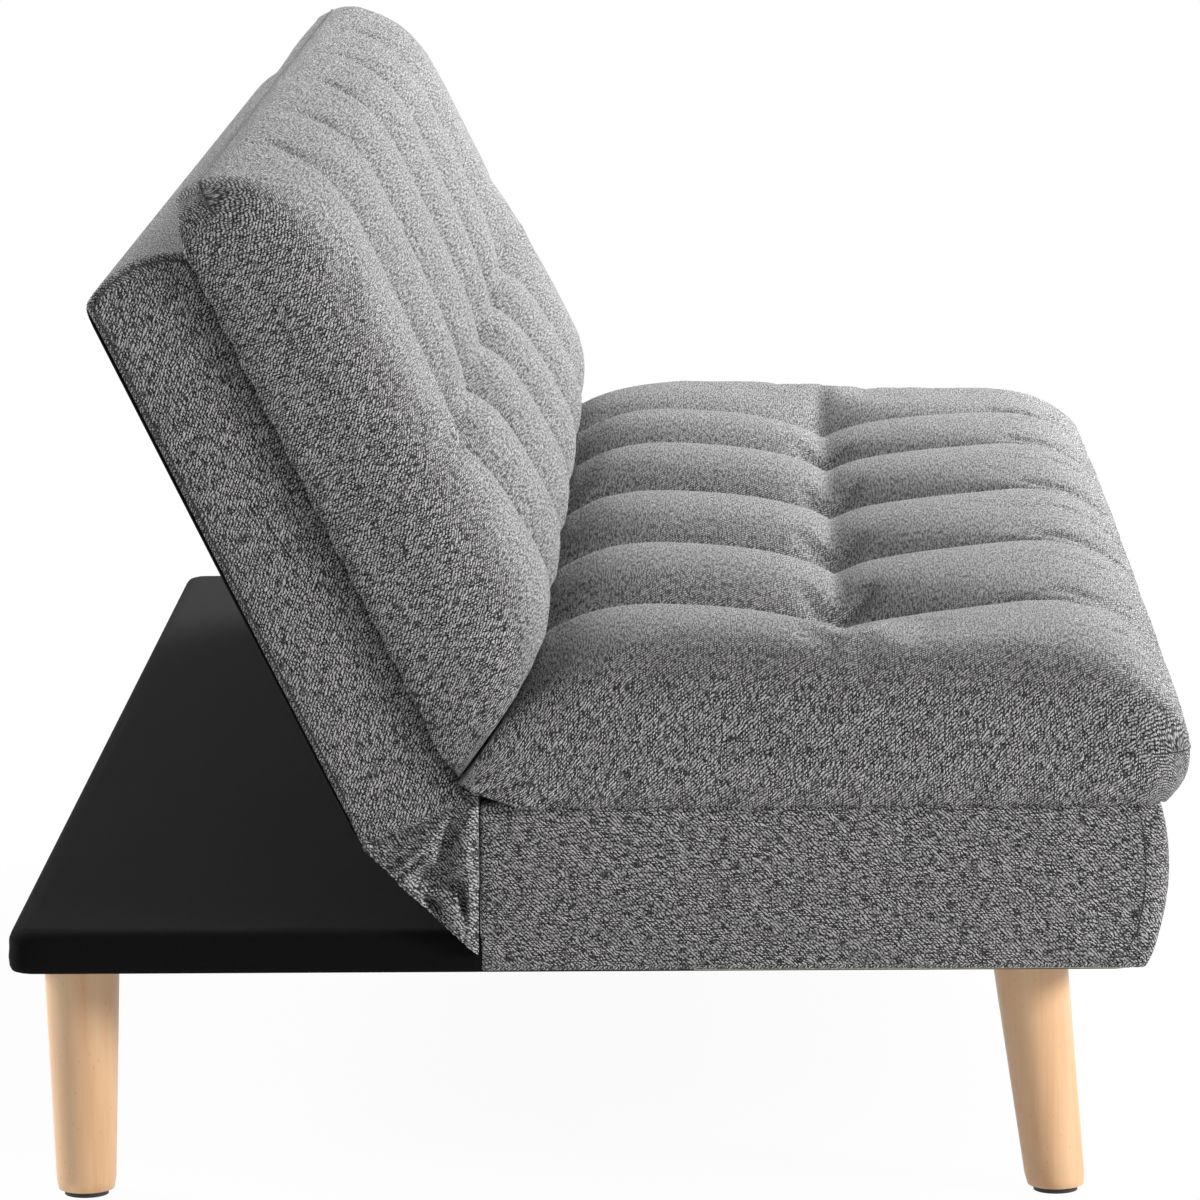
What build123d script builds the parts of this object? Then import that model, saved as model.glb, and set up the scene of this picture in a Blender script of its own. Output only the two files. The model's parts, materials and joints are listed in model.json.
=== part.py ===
from build123d import *
from math import cos, radians, sin, tan
import os

os.makedirs("parts", exist_ok=True)

# Armless futon sofa. Millimetres, +Z up, front towards -Y, +X to the right seen from the front.
# The origin is on the floor under the middle of the sofa.

# Overall sizes
cushion_width = 1680
sofa_depth = 840
box_width = 1650
seat_depth_behind = 86          # how far the seat box reaches behind the middle of the sofa
cushion_overhang = 22           # seat cushion in front of the top of the front panel
front_crown = 7                 # bulge of the front panel in front of its top
front_foot_tuck = 10            # foot of the front panel behind its top
front_end_round = 11
base_top_round = 8.0
base_corner_round = 14.0

# Sheet and board thicknesses
cover = 2.0                     # grey upholstery cloth
cloth = 1.5                     # black base and dust cloth
board = 18.0
rail = 22.0
strap = 2.0
ease = 0.3                      # gap kept between curved or moving faces

# Heights of the seat frame
glide_height = 4
leg_height = 173
base_rail_height = 25
deck_thickness = 3
seat_board_height = 91.5
seat_foam_height = 24

# Back, in its own frame: u up the back, v out of its front face
lean = 26.0
pivot_setback = 21              # pivot behind the seat box
pivot_drop = 25                 # pivot below the seat top
back_thickness = 84
back_foot_u = 22
back_foot_slope = 6             # the rear foot edge stands this much higher up the back
back_top_u = 456
back_top_crown = 6
back_foam_height = 23
release_swing = 5.0

# Upholstery paddings
side_pad = 11.0
front_pad = 8.0                 # least foam in front of the front rail and over the top rail of the back
base_pad = 1.5
hinge_bay = 150                 # length at the hinge that the side pads leave free
hinge_free = 6.0                # the covers stay this far outside the inner faces of the side boards
strap_width = 70

# Legs
leg_top_radius = 27.5
leg_foot_radius = 21.5
front_leg_set = 50              # leg behind the front rail
rear_leg_set = 17               # leg in front of the base rear rail
front_leg_splay = 6.3
glide_radius = 16
leg_block_size = 80
leg_sides = 40                  # flats that stand for the turned round of a leg
bolt_sides = 12
bolt_radius = 4.0
bolt_in_leg = 40
bolt_clearance = 0.25
tee_flange_radius = 9.5
tee_flange = 1.6
tee_barrel = 11.0
tee_barrel_wall = 1.2

# Hinges
plate = 3.0
pin_radius = 5.0
pin_head_radius = 9.0
pin_head = 3.0
fit = 0.25                      # round screws and nuts in their holes
pin_fit = 0.1                   # running pins in their holes
tooth_tip_radius = 24.0
tooth_root_radius = 20.0
tooth_count = 8
tooth_pitch = 10.0
pawl_angle = 245.0              # where the pawl meets the teeth, round the pivot from +Y
pawl_length = 35.0
pawl_drop = 9.0                 # pawl pin below the tip of the pawl
pawl_tail_length = 16.0
pawl_tail_rise = 3.0
pawl_boss_radius = 8.0
pawl_nose_radius = 4.0
pawl_pin_radius = 3.5
pawl_pin_head_radius = 6.0
spring_leaf = 1.0
spring_bend = 9.0
spring_post_setback = 22.0
spring_post_rise = 20.0
spring_post_radius = 2.5
seat_plate_eye = 15.0           # radius of the seat plate round the pivot
seat_plate_elbow = 60.0         # places and radii along the seat plate, forward of the pivot
seat_plate_elbow_drop = 40.0
seat_plate_elbow_radius = 24.0
seat_plate_reach = 130.0
seat_plate_drop = 38.0
seat_plate_end_radius = 20.0
seat_plate_screw_near = 88.0
seat_plate_screw_far = 136.0
seat_plate_screw_gap = 22.0
back_plate_reach = 140.0
back_plate_setback = 22.0
back_plate_neck = 4.0           # the arm is this much narrower than the tooth roots
back_plate_end_radius = 14.0
screw_radius = 2.5
screw_head_radius = 4.5
screw_head = 2.5
screw_length = 40

# Cushions: s runs from the hinge to the free edge, w is the height over the base
tuft_count = 5
tuft_pitch = 280
tuft_shoulder = 60
seat_tuft_s = 281
seat_rear_crest = 110
seat_front_crest = 104
seat_hinge_crest = 82
seat_row_valley = 9             # dip along the width between the two rows of pillows
seat_tuft_depth = 26
seat_rear_channel = 22          # dips between the columns, in the row by the hinge and in the free row
seat_front_channel = 11
back_cushion_reach = 503
back_tuft_s = 240
back_lower_crest = 104
back_upper_crest = 94
back_hinge_crest = 78
back_row_valley = 3
back_tuft_depth = 24
back_lower_channel = 18
back_upper_channel = 15
nose_seam = 38                  # height of the boxing seam
nose_round = 30
nose_rise = 11                  # top of the nose over the seam, beyond its round
nose_lift = 4                   # the foremost line of the nose stands this much over its middle
hinge_end_tuck = 4              # foot of the hinge end behind its top
hinge_end_bow = 1
fold_gap = 2.0

# Cloth gussets
gusset_cloth = 1.2
gusset_stand_off = 1.6          # middle of the pleats outside the boxes
gusset_hem = 6.0
gusset_lift = 2.0
pleat_depth = 2.4
pleat_pitch = 17.0
pleat_count = 8
pleat_length = 130.0

# Derived places
box_half = box_width / 2
cushion_half = cushion_width / 2
underside_z = glide_height + leg_height
frame_z = underside_z + cloth
base_board_z = frame_z + base_rail_height
base_top_z = base_board_z + deck_thickness + cloth
seat_board_z = frame_z + seat_board_height
seat_foam_z = seat_board_z + 2 * strap
seat_top_z = seat_foam_z + seat_foam_height + cover
seat_rear_y = seat_depth_behind
seat_inner_rear_y = seat_rear_y - cover
front_top_y = cushion_overhang - sofa_depth / 2
front_crown_y = front_top_y - front_crown
front_foot_y = front_top_y + front_foot_tuck
front_rail_y = front_foot_y + front_pad
base_rear_y = sofa_depth / 2
base_inner_rear_y = base_rear_y - cloth - base_pad
cushion_front_s = sofa_depth / 2 + seat_rear_y + pivot_setback
board_outer = box_half - cover - side_pad
board_inner = board_outer - board
leg_x = board_inner - leg_block_size / 2
front_leg_y = front_rail_y + rail + front_leg_set
rear_leg_y = base_inner_rear_y - rail - rear_leg_set
pivot_y = seat_rear_y + pivot_setback
pivot_z = seat_top_z - pivot_drop
back_front_v = pivot_drop
back_rear_v = back_front_v - back_thickness
back_foam_v = back_front_v - cover - back_foam_height
back_wood_v = back_foam_v - strap
back_wood_rear_v = back_rear_v + cloth
stile_outer = board_outer + plate + ease
stile_inner = stile_outer - board
stile_foot_u = back_foot_u + back_foot_slope + cover + 3 * ease
top_rail_u = back_top_u - cover - front_pad
hinge_free_x = board_inner + hinge_free
hinge_bay_front_y = seat_inner_rear_y - hinge_bay
fold_margin = 0.3               # degrees that each cushion keeps to its own side of the fold
fold_angle = (90 + lean - release_swing) / 2 - fold_margin
tuft_xs = [(i - (tuft_count - 1) / 2) * tuft_pitch for i in range(tuft_count)]
hands = (("left", -1), ("right", 1))

up_back = (0, sin(radians(lean)), cos(radians(lean)))
out_of_back = (0, -cos(radians(lean)), sin(radians(lean)))
back_plane = Plane(origin=(0, pivot_y, pivot_z), x_dir=(1, 0, 0), z_dir=out_of_back)


def save(piece, name):
    """Label a finished piece and write it as its own file."""
    piece.part.label = name
    export_step(piece.part, f"parts/{name}.step")


def span(side, inner, outer):
    """Low and high X of a piece between two distances from the middle, on one side."""
    return sorted((side * inner, side * outer))


def block(x, y, z, mode=Mode.ADD):
    """Square-edged block between three (low, high) pairs in the open part's frame."""
    with Locations((x[0], y[0], z[0])):
        Box(x[1] - x[0], y[1] - y[0], z[1] - z[0], align=(Align.MIN, Align.MIN, Align.MIN), mode=mode)


def rod(x, y, z, radius, mode=Mode.ADD):
    """Round bar along X between the (low, high) pair x, at one place in the open part's frame."""
    with Locations(((x[0] + x[1]) / 2, y, z)):
        Cylinder(radius, x[1] - x[0], rotation=(0, 90, 0), mode=mode)


def bar(radius, length):
    """Eight-sided bar along X from the origin, for screws and their holes."""
    with BuildPart() as shape:
        with BuildSketch(Plane.YZ):
            RegularPolygon(radius, 8)
        extrude(amount=length)
    return shape.part


def place(shape, x, y, z, mode=Mode.ADD):
    """Put a bar at one place in the open part's frame, with its low end at the lower of the pair x."""
    with Locations((x[0], y, z)):
        add(shape, mode=mode)


def stud(places, low_z, high_z, radius, mode=Mode.ADD):
    """Upright many-sided bars at (x, y) places, for the leg bolts and their holes."""
    with BuildSketch(Plane.XY.offset(low_z)) as section:
        with Locations(*places):
            RegularPolygon(radius, bolt_sides)
    extrude(section.sketch, amount=high_z - low_z, mode=mode)


def side_plane(x):
    """Plane across X whose own axes are Y and Z."""
    return Plane(origin=(x, 0, 0), x_dir=(0, 1, 0), z_dir=(1, 0, 0))


def hinge_plane(x):
    """Plane across X, on the pivot, whose own axes are Y and Z."""
    return Plane(origin=(x, pivot_y, pivot_z), x_dir=(0, 1, 0), z_dir=(1, 0, 0))


def back_side_plane(x):
    """Plane across X, on the pivot, whose own axes are u and v."""
    return Plane(origin=(x, pivot_y, pivot_z), x_dir=up_back, z_dir=(1, 0, 0))


def back_point(u, v):
    """Y and Z of a point of the back at rest."""
    return (
        pivot_y + u * up_back[1] + v * out_of_back[1],
        pivot_z + u * up_back[2] + v * out_of_back[2],
    )


# Frame screws: one row of places for the screws, the boards they pass and the rails they bite
front_rail_mid_y = front_rail_y + rail / 2
rear_rail_mid_y = seat_inner_rear_y - rail / 2
base_rail_mid_y = base_inner_rear_y - rail / 2
frame_screw_low_z = frame_z + 0.3 * seat_board_height
frame_screw_high_z = frame_z + 0.75 * seat_board_height
seat_screw_places = [
    (front_rail_mid_y, frame_screw_low_z),
    (front_rail_mid_y, frame_screw_high_z),
    (rear_rail_mid_y, frame_screw_low_z),
    (rear_rail_mid_y, frame_screw_high_z),
    (base_rail_mid_y, frame_z + base_rail_height / 2),
]
back_screw_v = (back_wood_v + back_wood_rear_v) / 2
back_screw_places = [(stile_foot_u + rail / 2, back_screw_v), (top_rail_u - rail / 2, back_screw_v)]


screw_shank = bar(screw_radius, screw_length - screw_head)
screw_cap = bar(screw_head_radius, screw_head)
shank_hole = bar(screw_radius + fit, screw_length + fit)
cap_hole = bar(screw_head_radius + fit, screw_head + fit)


def screw_holes(places, outer):
    """Holes for countersunk frame screws that enter at the distance outer from the middle."""
    for side in (-1, 1):
        for a, b in places:
            place(shank_hole, span(side, outer - screw_length - fit, outer), a, b, Mode.SUBTRACT)
            place(cap_hole, span(side, outer - screw_head - fit, outer), a, b, Mode.SUBTRACT)


def frame_screws(places, outer):
    """Countersunk frame screws with their heads flush at the distance outer from the middle."""
    for side in (-1, 1):
        for a, b in places:
            place(screw_shank, span(side, outer - screw_length, outer - screw_head), a, b)
            place(screw_cap, span(side, outer - screw_head, outer), a, b)


# Stepped plywood side boards, high under the seat and low under the rear deck
for hand, side in hands:
    with BuildPart() as side_board:
        with BuildSketch(side_plane(span(side, board_inner, board_outer)[0])):
            with BuildLine():
                Polyline(
                    (front_rail_y, frame_z),
                    (base_inner_rear_y, frame_z),
                    (base_inner_rear_y, base_board_z),
                    (seat_inner_rear_y, base_board_z),
                    (seat_inner_rear_y, seat_board_z),
                    (front_rail_y, seat_board_z),
                    close=True,
                )
            make_face()
        extrude(amount=board)
        screw_holes(seat_screw_places, board_outer)
    save(side_board, f"{hand}_side_board")

# Seat rails between the side boards
inside = (-board_inner, board_inner)
with BuildPart() as seat_front_rail:
    block(inside, (front_rail_y, front_rail_y + rail), (frame_z, seat_board_z))
    screw_holes(seat_screw_places[:2], board_outer)
save(seat_front_rail, "seat_front_rail")

with BuildPart() as seat_rear_rail:
    block(inside, (seat_inner_rear_y - rail, seat_inner_rear_y), (frame_z, seat_board_z))
    screw_holes(seat_screw_places[2:4], board_outer)
save(seat_rear_rail, "seat_rear_rail")

# Cross rails stand lower than the webbing, so that the seat can give
cross_rail_count = 3
cross_rail_drop = 25
rail_bay = (front_rail_y + rail, seat_inner_rear_y - rail)
with BuildPart() as seat_cross_rails:
    with GridLocations(2 * board_inner / (cross_rail_count + 1), 1, cross_rail_count, 1):
        block((-rail / 2, rail / 2), rail_bay, (frame_z, seat_board_z - cross_rail_drop))
save(seat_cross_rails, "seat_cross_rails")

# Base behind the seat: rear rail, slats and a hardboard deck
with BuildPart() as base_rear_rail:
    block(inside, (base_inner_rear_y - rail, base_inner_rear_y), (frame_z, base_board_z))
    screw_holes(seat_screw_places[4:], board_outer)
save(base_rear_rail, "base_rear_rail")

slat_width = 60
with BuildPart() as base_slats:
    with GridLocations(2 * board_inner / (cross_rail_count + 1), 1, cross_rail_count, 1):
        block(
            (-slat_width / 2, slat_width / 2),
            (seat_inner_rear_y, base_inner_rear_y - rail),
            (frame_z, base_board_z),
        )
save(base_slats, "base_slats")

deck_half = box_half - cloth - base_top_round
with BuildPart() as base_deck_panel:
    block(
        (-deck_half, deck_half),
        (seat_rear_y + ease, base_rear_y - cloth - base_top_round),
        (base_board_z, base_board_z + deck_thickness),
    )
    fillet(base_deck_panel.edges().filter_by(Axis.Z).group_by(Axis.Y)[-1], base_top_round)
save(base_deck_panel, "base_deck_panel")

base_pad_outer = box_half - cloth - base_pad
with BuildPart() as base_side_pads:
    for hand, side in hands:
        block(
            span(side, board_outer, base_pad_outer),
            (seat_rear_y + ease, base_rear_y - cloth - base_corner_round),
            (frame_z, base_board_z),
        )
save(base_side_pads, "base_side_pads")


def base_shape(inset):
    """Rounded block of the base behind the seat, drawn in by inset on its covered faces."""
    with BuildPart() as shape:
        half = box_half - inset
        block((-half, half), (seat_rear_y, base_rear_y - inset), (underside_z, base_top_z - inset))
        fillet(shape.edges().filter_by(Axis.Z).group_by(Axis.Y)[-1], base_corner_round - inset)
        rim = shape.faces().sort_by(Axis.Z)[-1].edges()
        fillet(rim - rim.group_by(Axis.Y)[0], base_top_round - inset)
    return shape.part


# Black cloth over the base deck, open below and towards the seat
base_outside = base_shape(0)
base_inside = base_shape(cloth)
with BuildPart() as base_cover:
    add(base_outside)
    add(base_inside, mode=Mode.SUBTRACT)
save(base_cover, "base_cover")

# Corner blocks that take the legs, with tee nuts let into their tops
tee_barrel_radius = bolt_radius + bolt_clearance + tee_barrel_wall
tee_recess = tee_flange + 2 * fit
leg_blocks = (
    ("front_leg_blocks", front_leg_y, (front_rail_y + rail, front_rail_y + rail + leg_block_size)),
    ("rear_leg_blocks", rear_leg_y, (base_inner_rear_y - rail - leg_block_size, base_inner_rear_y - rail)),
)
for block_name, leg_y, block_y in leg_blocks:
    with BuildPart() as leg_block:
        for hand, side in hands:
            block(span(side, board_inner - leg_block_size, board_inner), block_y, (frame_z, base_board_z))
        nut_places = [(side * leg_x, leg_y) for hand, side in hands]
        stud(nut_places, frame_z, base_board_z, tee_barrel_radius + fit, Mode.SUBTRACT)
        stud(nut_places, base_board_z - tee_recess, base_board_z, tee_flange_radius + fit, Mode.SUBTRACT)
    save(leg_block, block_name)

leg_places = [(side * leg_x, y) for hand, side in hands for y in (front_leg_y, rear_leg_y)]
with BuildPart() as leg_bolts:
    stud(leg_places, underside_z - bolt_in_leg, base_board_z - fit, bolt_radius)
save(leg_bolts, "leg_bolts")

with BuildPart() as leg_tee_nuts:
    flange_z = base_board_z - tee_recess
    stud(leg_places, flange_z, flange_z + tee_flange, tee_flange_radius)
    stud(leg_places, flange_z - tee_barrel, flange_z, tee_barrel_radius)
    stud(leg_places, frame_z, base_board_z, bolt_radius + bolt_clearance, Mode.SUBTRACT)
save(leg_tee_nuts, "leg_tee_nuts")

# Turned beech legs: the front pair splays forward, the rear pair stands straight
foot_shift = leg_height * tan(radians(front_leg_splay))
leg_rows = (("front", front_leg_y, front_leg_splay), ("rear", rear_leg_y, 0.0))
for row, leg_y, splay in leg_rows:
    for hand, side in hands:
        top = Vector(side * leg_x, leg_y, underside_z)
        axis_down = Vector(0, -sin(radians(splay)), -cos(radians(splay)))
        overrun = leg_top_radius
        taper = (leg_top_radius - leg_foot_radius) / leg_height
        with BuildPart() as leg:
            for reach in (-overrun, leg_height + overrun):
                with BuildSketch(Plane(origin=top + axis_down * reach, x_dir=(1, 0, 0), z_dir=axis_down)):
                    RegularPolygon(leg_top_radius - taper * reach, leg_sides)
            loft(ruled=True)
            split(bisect_by=Plane.XY.offset(underside_z), keep=Keep.BOTTOM)
            split(bisect_by=Plane.XY.offset(glide_height), keep=Keep.TOP)
            hole_radius = bolt_radius + bolt_clearance
            stud([(top.X, top.Y)], underside_z - bolt_in_leg - ease, underside_z, hole_radius, Mode.SUBTRACT)
        save(leg, f"{row}_{hand}_leg")

glide_places = [(side * leg_x, front_leg_y - foot_shift) for hand, side in hands]
glide_places += [(side * leg_x, rear_leg_y) for hand, side in hands]
with BuildPart() as leg_glides:
    with Locations(*[(x, y, 0) for x, y in glide_places]):
        Cylinder(glide_radius, glide_height, align=(Align.CENTER, Align.CENTER, Align.MIN))
save(leg_glides, "leg_glides")

# Dust cloth under the whole frame, with holes for the leg bolts
dust_half = box_half - cover - ease
with BuildPart() as seat_dust_cover:
    block(
        (-dust_half, dust_half),
        (front_foot_y + cover + 2 * ease, base_rear_y - cloth - ease),
        (underside_z, frame_z),
    )
    chamfer(seat_dust_cover.edges().filter_by(Axis.Z), base_corner_round)
    stud(leg_places, underside_z, frame_z, bolt_radius + 2 * fit, Mode.SUBTRACT)
save(seat_dust_cover, "seat_dust_cover")

# Seat springing: straps front to back, straps across them, then the foam deck
long_strap_count = 8
cross_strap_count = 3
seat_mid_y = (front_rail_y + seat_inner_rear_y) / 2
seat_span = seat_inner_rear_y - front_rail_y
with BuildPart() as seat_webbing_long:
    with Locations((0, seat_mid_y, seat_board_z)):
        with GridLocations(2 * board_inner / long_strap_count, 1, long_strap_count, 1):
            Box(strap_width, seat_span - rail / 2, strap, align=(Align.CENTER, Align.CENTER, Align.MIN))
save(seat_webbing_long, "seat_webbing_long")

with BuildPart() as seat_webbing_cross:
    with Locations((0, seat_mid_y, seat_board_z + strap)):
        with GridLocations(1, seat_span / (cross_strap_count + 1), 1, cross_strap_count):
            Box(2 * board_inner + board, strap_width, strap, align=(Align.CENTER, Align.CENTER, Align.MIN))
save(seat_webbing_cross, "seat_webbing_cross")

with BuildPart() as seat_foam_deck:
    block((-board_outer, board_outer), (front_rail_y, seat_inner_rear_y), (seat_foam_z, seat_top_z - cover))
save(seat_foam_deck, "seat_foam_deck")

with BuildPart() as seat_side_pads:
    for hand, side in hands:
        block(
            span(side, board_outer, box_half - cover),
            (front_foot_y + front_end_round + ease, hinge_bay_front_y),
            (frame_z, seat_top_z - cover),
        )
save(seat_side_pads, "seat_side_pads")


def seat_shape(rear_y, bottom_z, inset):
    """Seat box with its crowned front panel, drawn in by inset on its covered faces."""
    top_z = seat_top_z - inset
    front_top = (front_top_y + inset, top_z)
    front_crown = (front_crown_y + inset, (underside_z + 2 * seat_top_z) / 3)
    front_foot = (front_foot_y + inset, bottom_z)
    with BuildPart() as shape:
        with BuildSketch(side_plane(-(box_half - inset))):
            with BuildLine():
                Polyline(front_foot, (rear_y, bottom_z), (rear_y, top_z), front_top)
                ThreePointArc(front_top, front_crown, front_foot)
            make_face()
        extrude(amount=box_width - 2 * inset)
        fillet(shape.edges().filter_by(GeomType.CIRCLE), front_end_round - inset)
    return shape.part


# Foam roll that crowns the front panel
front_roll = seat_shape(front_rail_y, frame_z, cover + ease)
with BuildPart() as seat_front_roll:
    add(front_roll)
save(seat_front_roll, "seat_front_roll")

# Grey cover of the seat box, open below, with its rear wall cut away at the base and the hinges
seat_outside = seat_shape(seat_rear_y, underside_z, 0)
seat_inside = seat_shape(seat_inner_rear_y, underside_z, cover)
with BuildPart() as seat_cover:
    add(seat_outside)
    add(seat_inside, mode=Mode.SUBTRACT)
    rear_wall = (seat_inner_rear_y - cover, seat_rear_y + cover)
    block((cover - box_half, box_half - cover), rear_wall, (underside_z, base_top_z), Mode.SUBTRACT)
    for hand, side in hands:
        free_x = span(side, hinge_free_x, box_half - cover)
        block(free_x, rear_wall, (base_top_z, seat_top_z - 2 * cover), Mode.SUBTRACT)
save(seat_cover, "seat_cover")

# Back frame: stiles, rails and inner stiles
back_wood = (back_wood_rear_v, back_wood_v)
for hand, side in hands:
    with BuildPart(back_plane) as back_stile:
        block(span(side, stile_inner, stile_outer), (stile_foot_u, top_rail_u), back_wood)
        screw_holes(back_screw_places, stile_outer)
    save(back_stile, f"{hand}_back_stile")

back_rails = (
    ("back_bottom_rail", stile_foot_u, back_screw_places[:1]),
    ("back_top_rail", top_rail_u - rail, back_screw_places[1:]),
)
for rail_name, rail_u, rail_screws in back_rails:
    with BuildPart(back_plane) as back_rail:
        block((-stile_inner, stile_inner), (rail_u, rail_u + rail), back_wood)
        screw_holes(rail_screws, stile_outer)
    save(back_rail, rail_name)

inner_stile_depth = 40
with BuildPart(back_plane) as back_inner_stiles:
    with GridLocations(2 * stile_inner / (cross_rail_count + 1), 1, cross_rail_count, 1):
        block(
            (-rail / 2, rail / 2),
            (stile_foot_u + rail, top_rail_u - rail),
            (back_wood_rear_v, back_wood_rear_v + inner_stile_depth),
        )
save(back_inner_stiles, "back_inner_stiles")

# Back springing and padding
back_strap_count = 4
back_strap_pitch = (top_rail_u - stile_foot_u) / (back_strap_count + 1)
with BuildPart(back_plane) as back_webbing:
    with Locations((0, (top_rail_u + stile_foot_u) / 2, back_wood_v)):
        with GridLocations(1, back_strap_pitch, 1, back_strap_count):
            Box(2 * stile_inner + board, strap_width, strap, align=(Align.CENTER, Align.CENTER, Align.MIN))
save(back_webbing, "back_webbing")

back_foam = (back_foam_v, back_front_v - cover)
with BuildPart(back_plane) as back_foam_pad:
    block((-stile_outer, stile_outer), (back_foot_u + 2 * cover, top_rail_u), back_foam)
save(back_foam_pad, "back_foam_pad")

with BuildPart(back_plane) as back_side_pads:
    for hand, side in hands:
        block(
            span(side, stile_outer, box_half - cover),
            (stile_foot_u + hinge_bay, back_top_u - front_end_round - cover),
            (back_wood_rear_v, back_front_v - cover),
        )
save(back_side_pads, "back_side_pads")


def back_shape(front_u, rear_u, rear_v, inset):
    """Back box with its crowned top, drawn in by inset on its covered faces."""
    front_v = back_front_v - inset
    top_u = back_top_u - inset
    crown = (top_u + back_top_crown, (front_v + rear_v) / 2)
    with BuildPart() as shape:
        with BuildSketch(back_side_plane(-(box_half - inset))):
            with BuildLine():
                Polyline((top_u, rear_v), (rear_u, rear_v), (front_u, front_v), (top_u, front_v))
                ThreePointArc((top_u, front_v), crown, (top_u, rear_v))
            make_face()
        extrude(amount=box_width - 2 * inset)
        fillet(shape.edges().filter_by(GeomType.CIRCLE), front_end_round - inset)
    return shape.part


top_pad = back_shape(top_rail_u, top_rail_u, back_wood_rear_v, cover + ease)
with BuildPart() as back_top_pad:
    add(top_pad)
save(back_top_pad, "back_top_pad")

# Grey cover of the back, open at the rear, with its foot cut away at the hinges
back_outside = back_shape(back_foot_u, back_foot_u + back_foot_slope, back_rear_v, 0)
back_inside = back_shape(back_foot_u + cover, back_foot_u + back_foot_slope + cover, back_rear_v, cover)
with BuildPart(back_plane) as back_hinge_bays:
    for hand, side in hands:
        block(
            span(side, hinge_free_x, box_half - cover),
            (back_foot_u - cover, stile_foot_u + cover),
            (back_rear_v, back_front_v - cover),
        )
with BuildPart() as back_cover:
    add(back_outside)
    add(back_inside, mode=Mode.SUBTRACT)
    add(back_hinge_bays.part, mode=Mode.SUBTRACT)
save(back_cover, "back_cover")

# Black dust cloth that closes the rear of the back
back_dust_half = box_half - cover - ease
with BuildPart(back_plane) as back_dust_cover:
    block(
        (-back_dust_half, back_dust_half),
        (stile_foot_u, back_top_u - 2 * cover),
        (back_rear_v, back_wood_rear_v),
    )
    chamfer(back_dust_cover.edges().filter_by(Axis(Vector(0, 0, 0), out_of_back)), front_end_round)
save(back_dust_cover, "back_dust_cover")

with BuildPart() as seat_frame_screws:
    frame_screws(seat_screw_places, board_outer)
save(seat_frame_screws, "seat_frame_screws")

with BuildPart(back_plane) as back_frame_screws:
    frame_screws(back_screw_places, stile_outer)
save(back_frame_screws, "back_frame_screws")

# Hinges. Seat plates lie against the side boards, back plates and pawls in the next layer out
plate_screw_places = []
for forward, drop in (
    (seat_plate_screw_near, seat_plate_elbow_drop),
    (seat_plate_screw_far, seat_plate_drop),
):
    plate_screw_places.append((-forward, seat_plate_screw_gap / 2 - drop))
    plate_screw_places.append((-forward, -seat_plate_screw_gap / 2 - drop))
back_plate_v = -back_plate_setback
back_plate_screw_us = [share * back_plate_reach for share in (0.43, 0.71, 0.985)]
pawl_tip = (
    (tooth_tip_radius + ease) * cos(radians(pawl_angle)),
    (tooth_tip_radius + ease) * sin(radians(pawl_angle)),
)
pawl_pivot = (pawl_tip[0] - pawl_length, pawl_tip[1] - pawl_drop)
pawl_tail = (pawl_pivot[0] - pawl_tail_length, pawl_pivot[1] + pawl_tail_rise)
spring_post = (pawl_pivot[0] - spring_post_setback, pawl_pivot[1] + spring_post_rise)
layer_inner = stile_outer
layer_outer = stile_outer + plate
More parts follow.
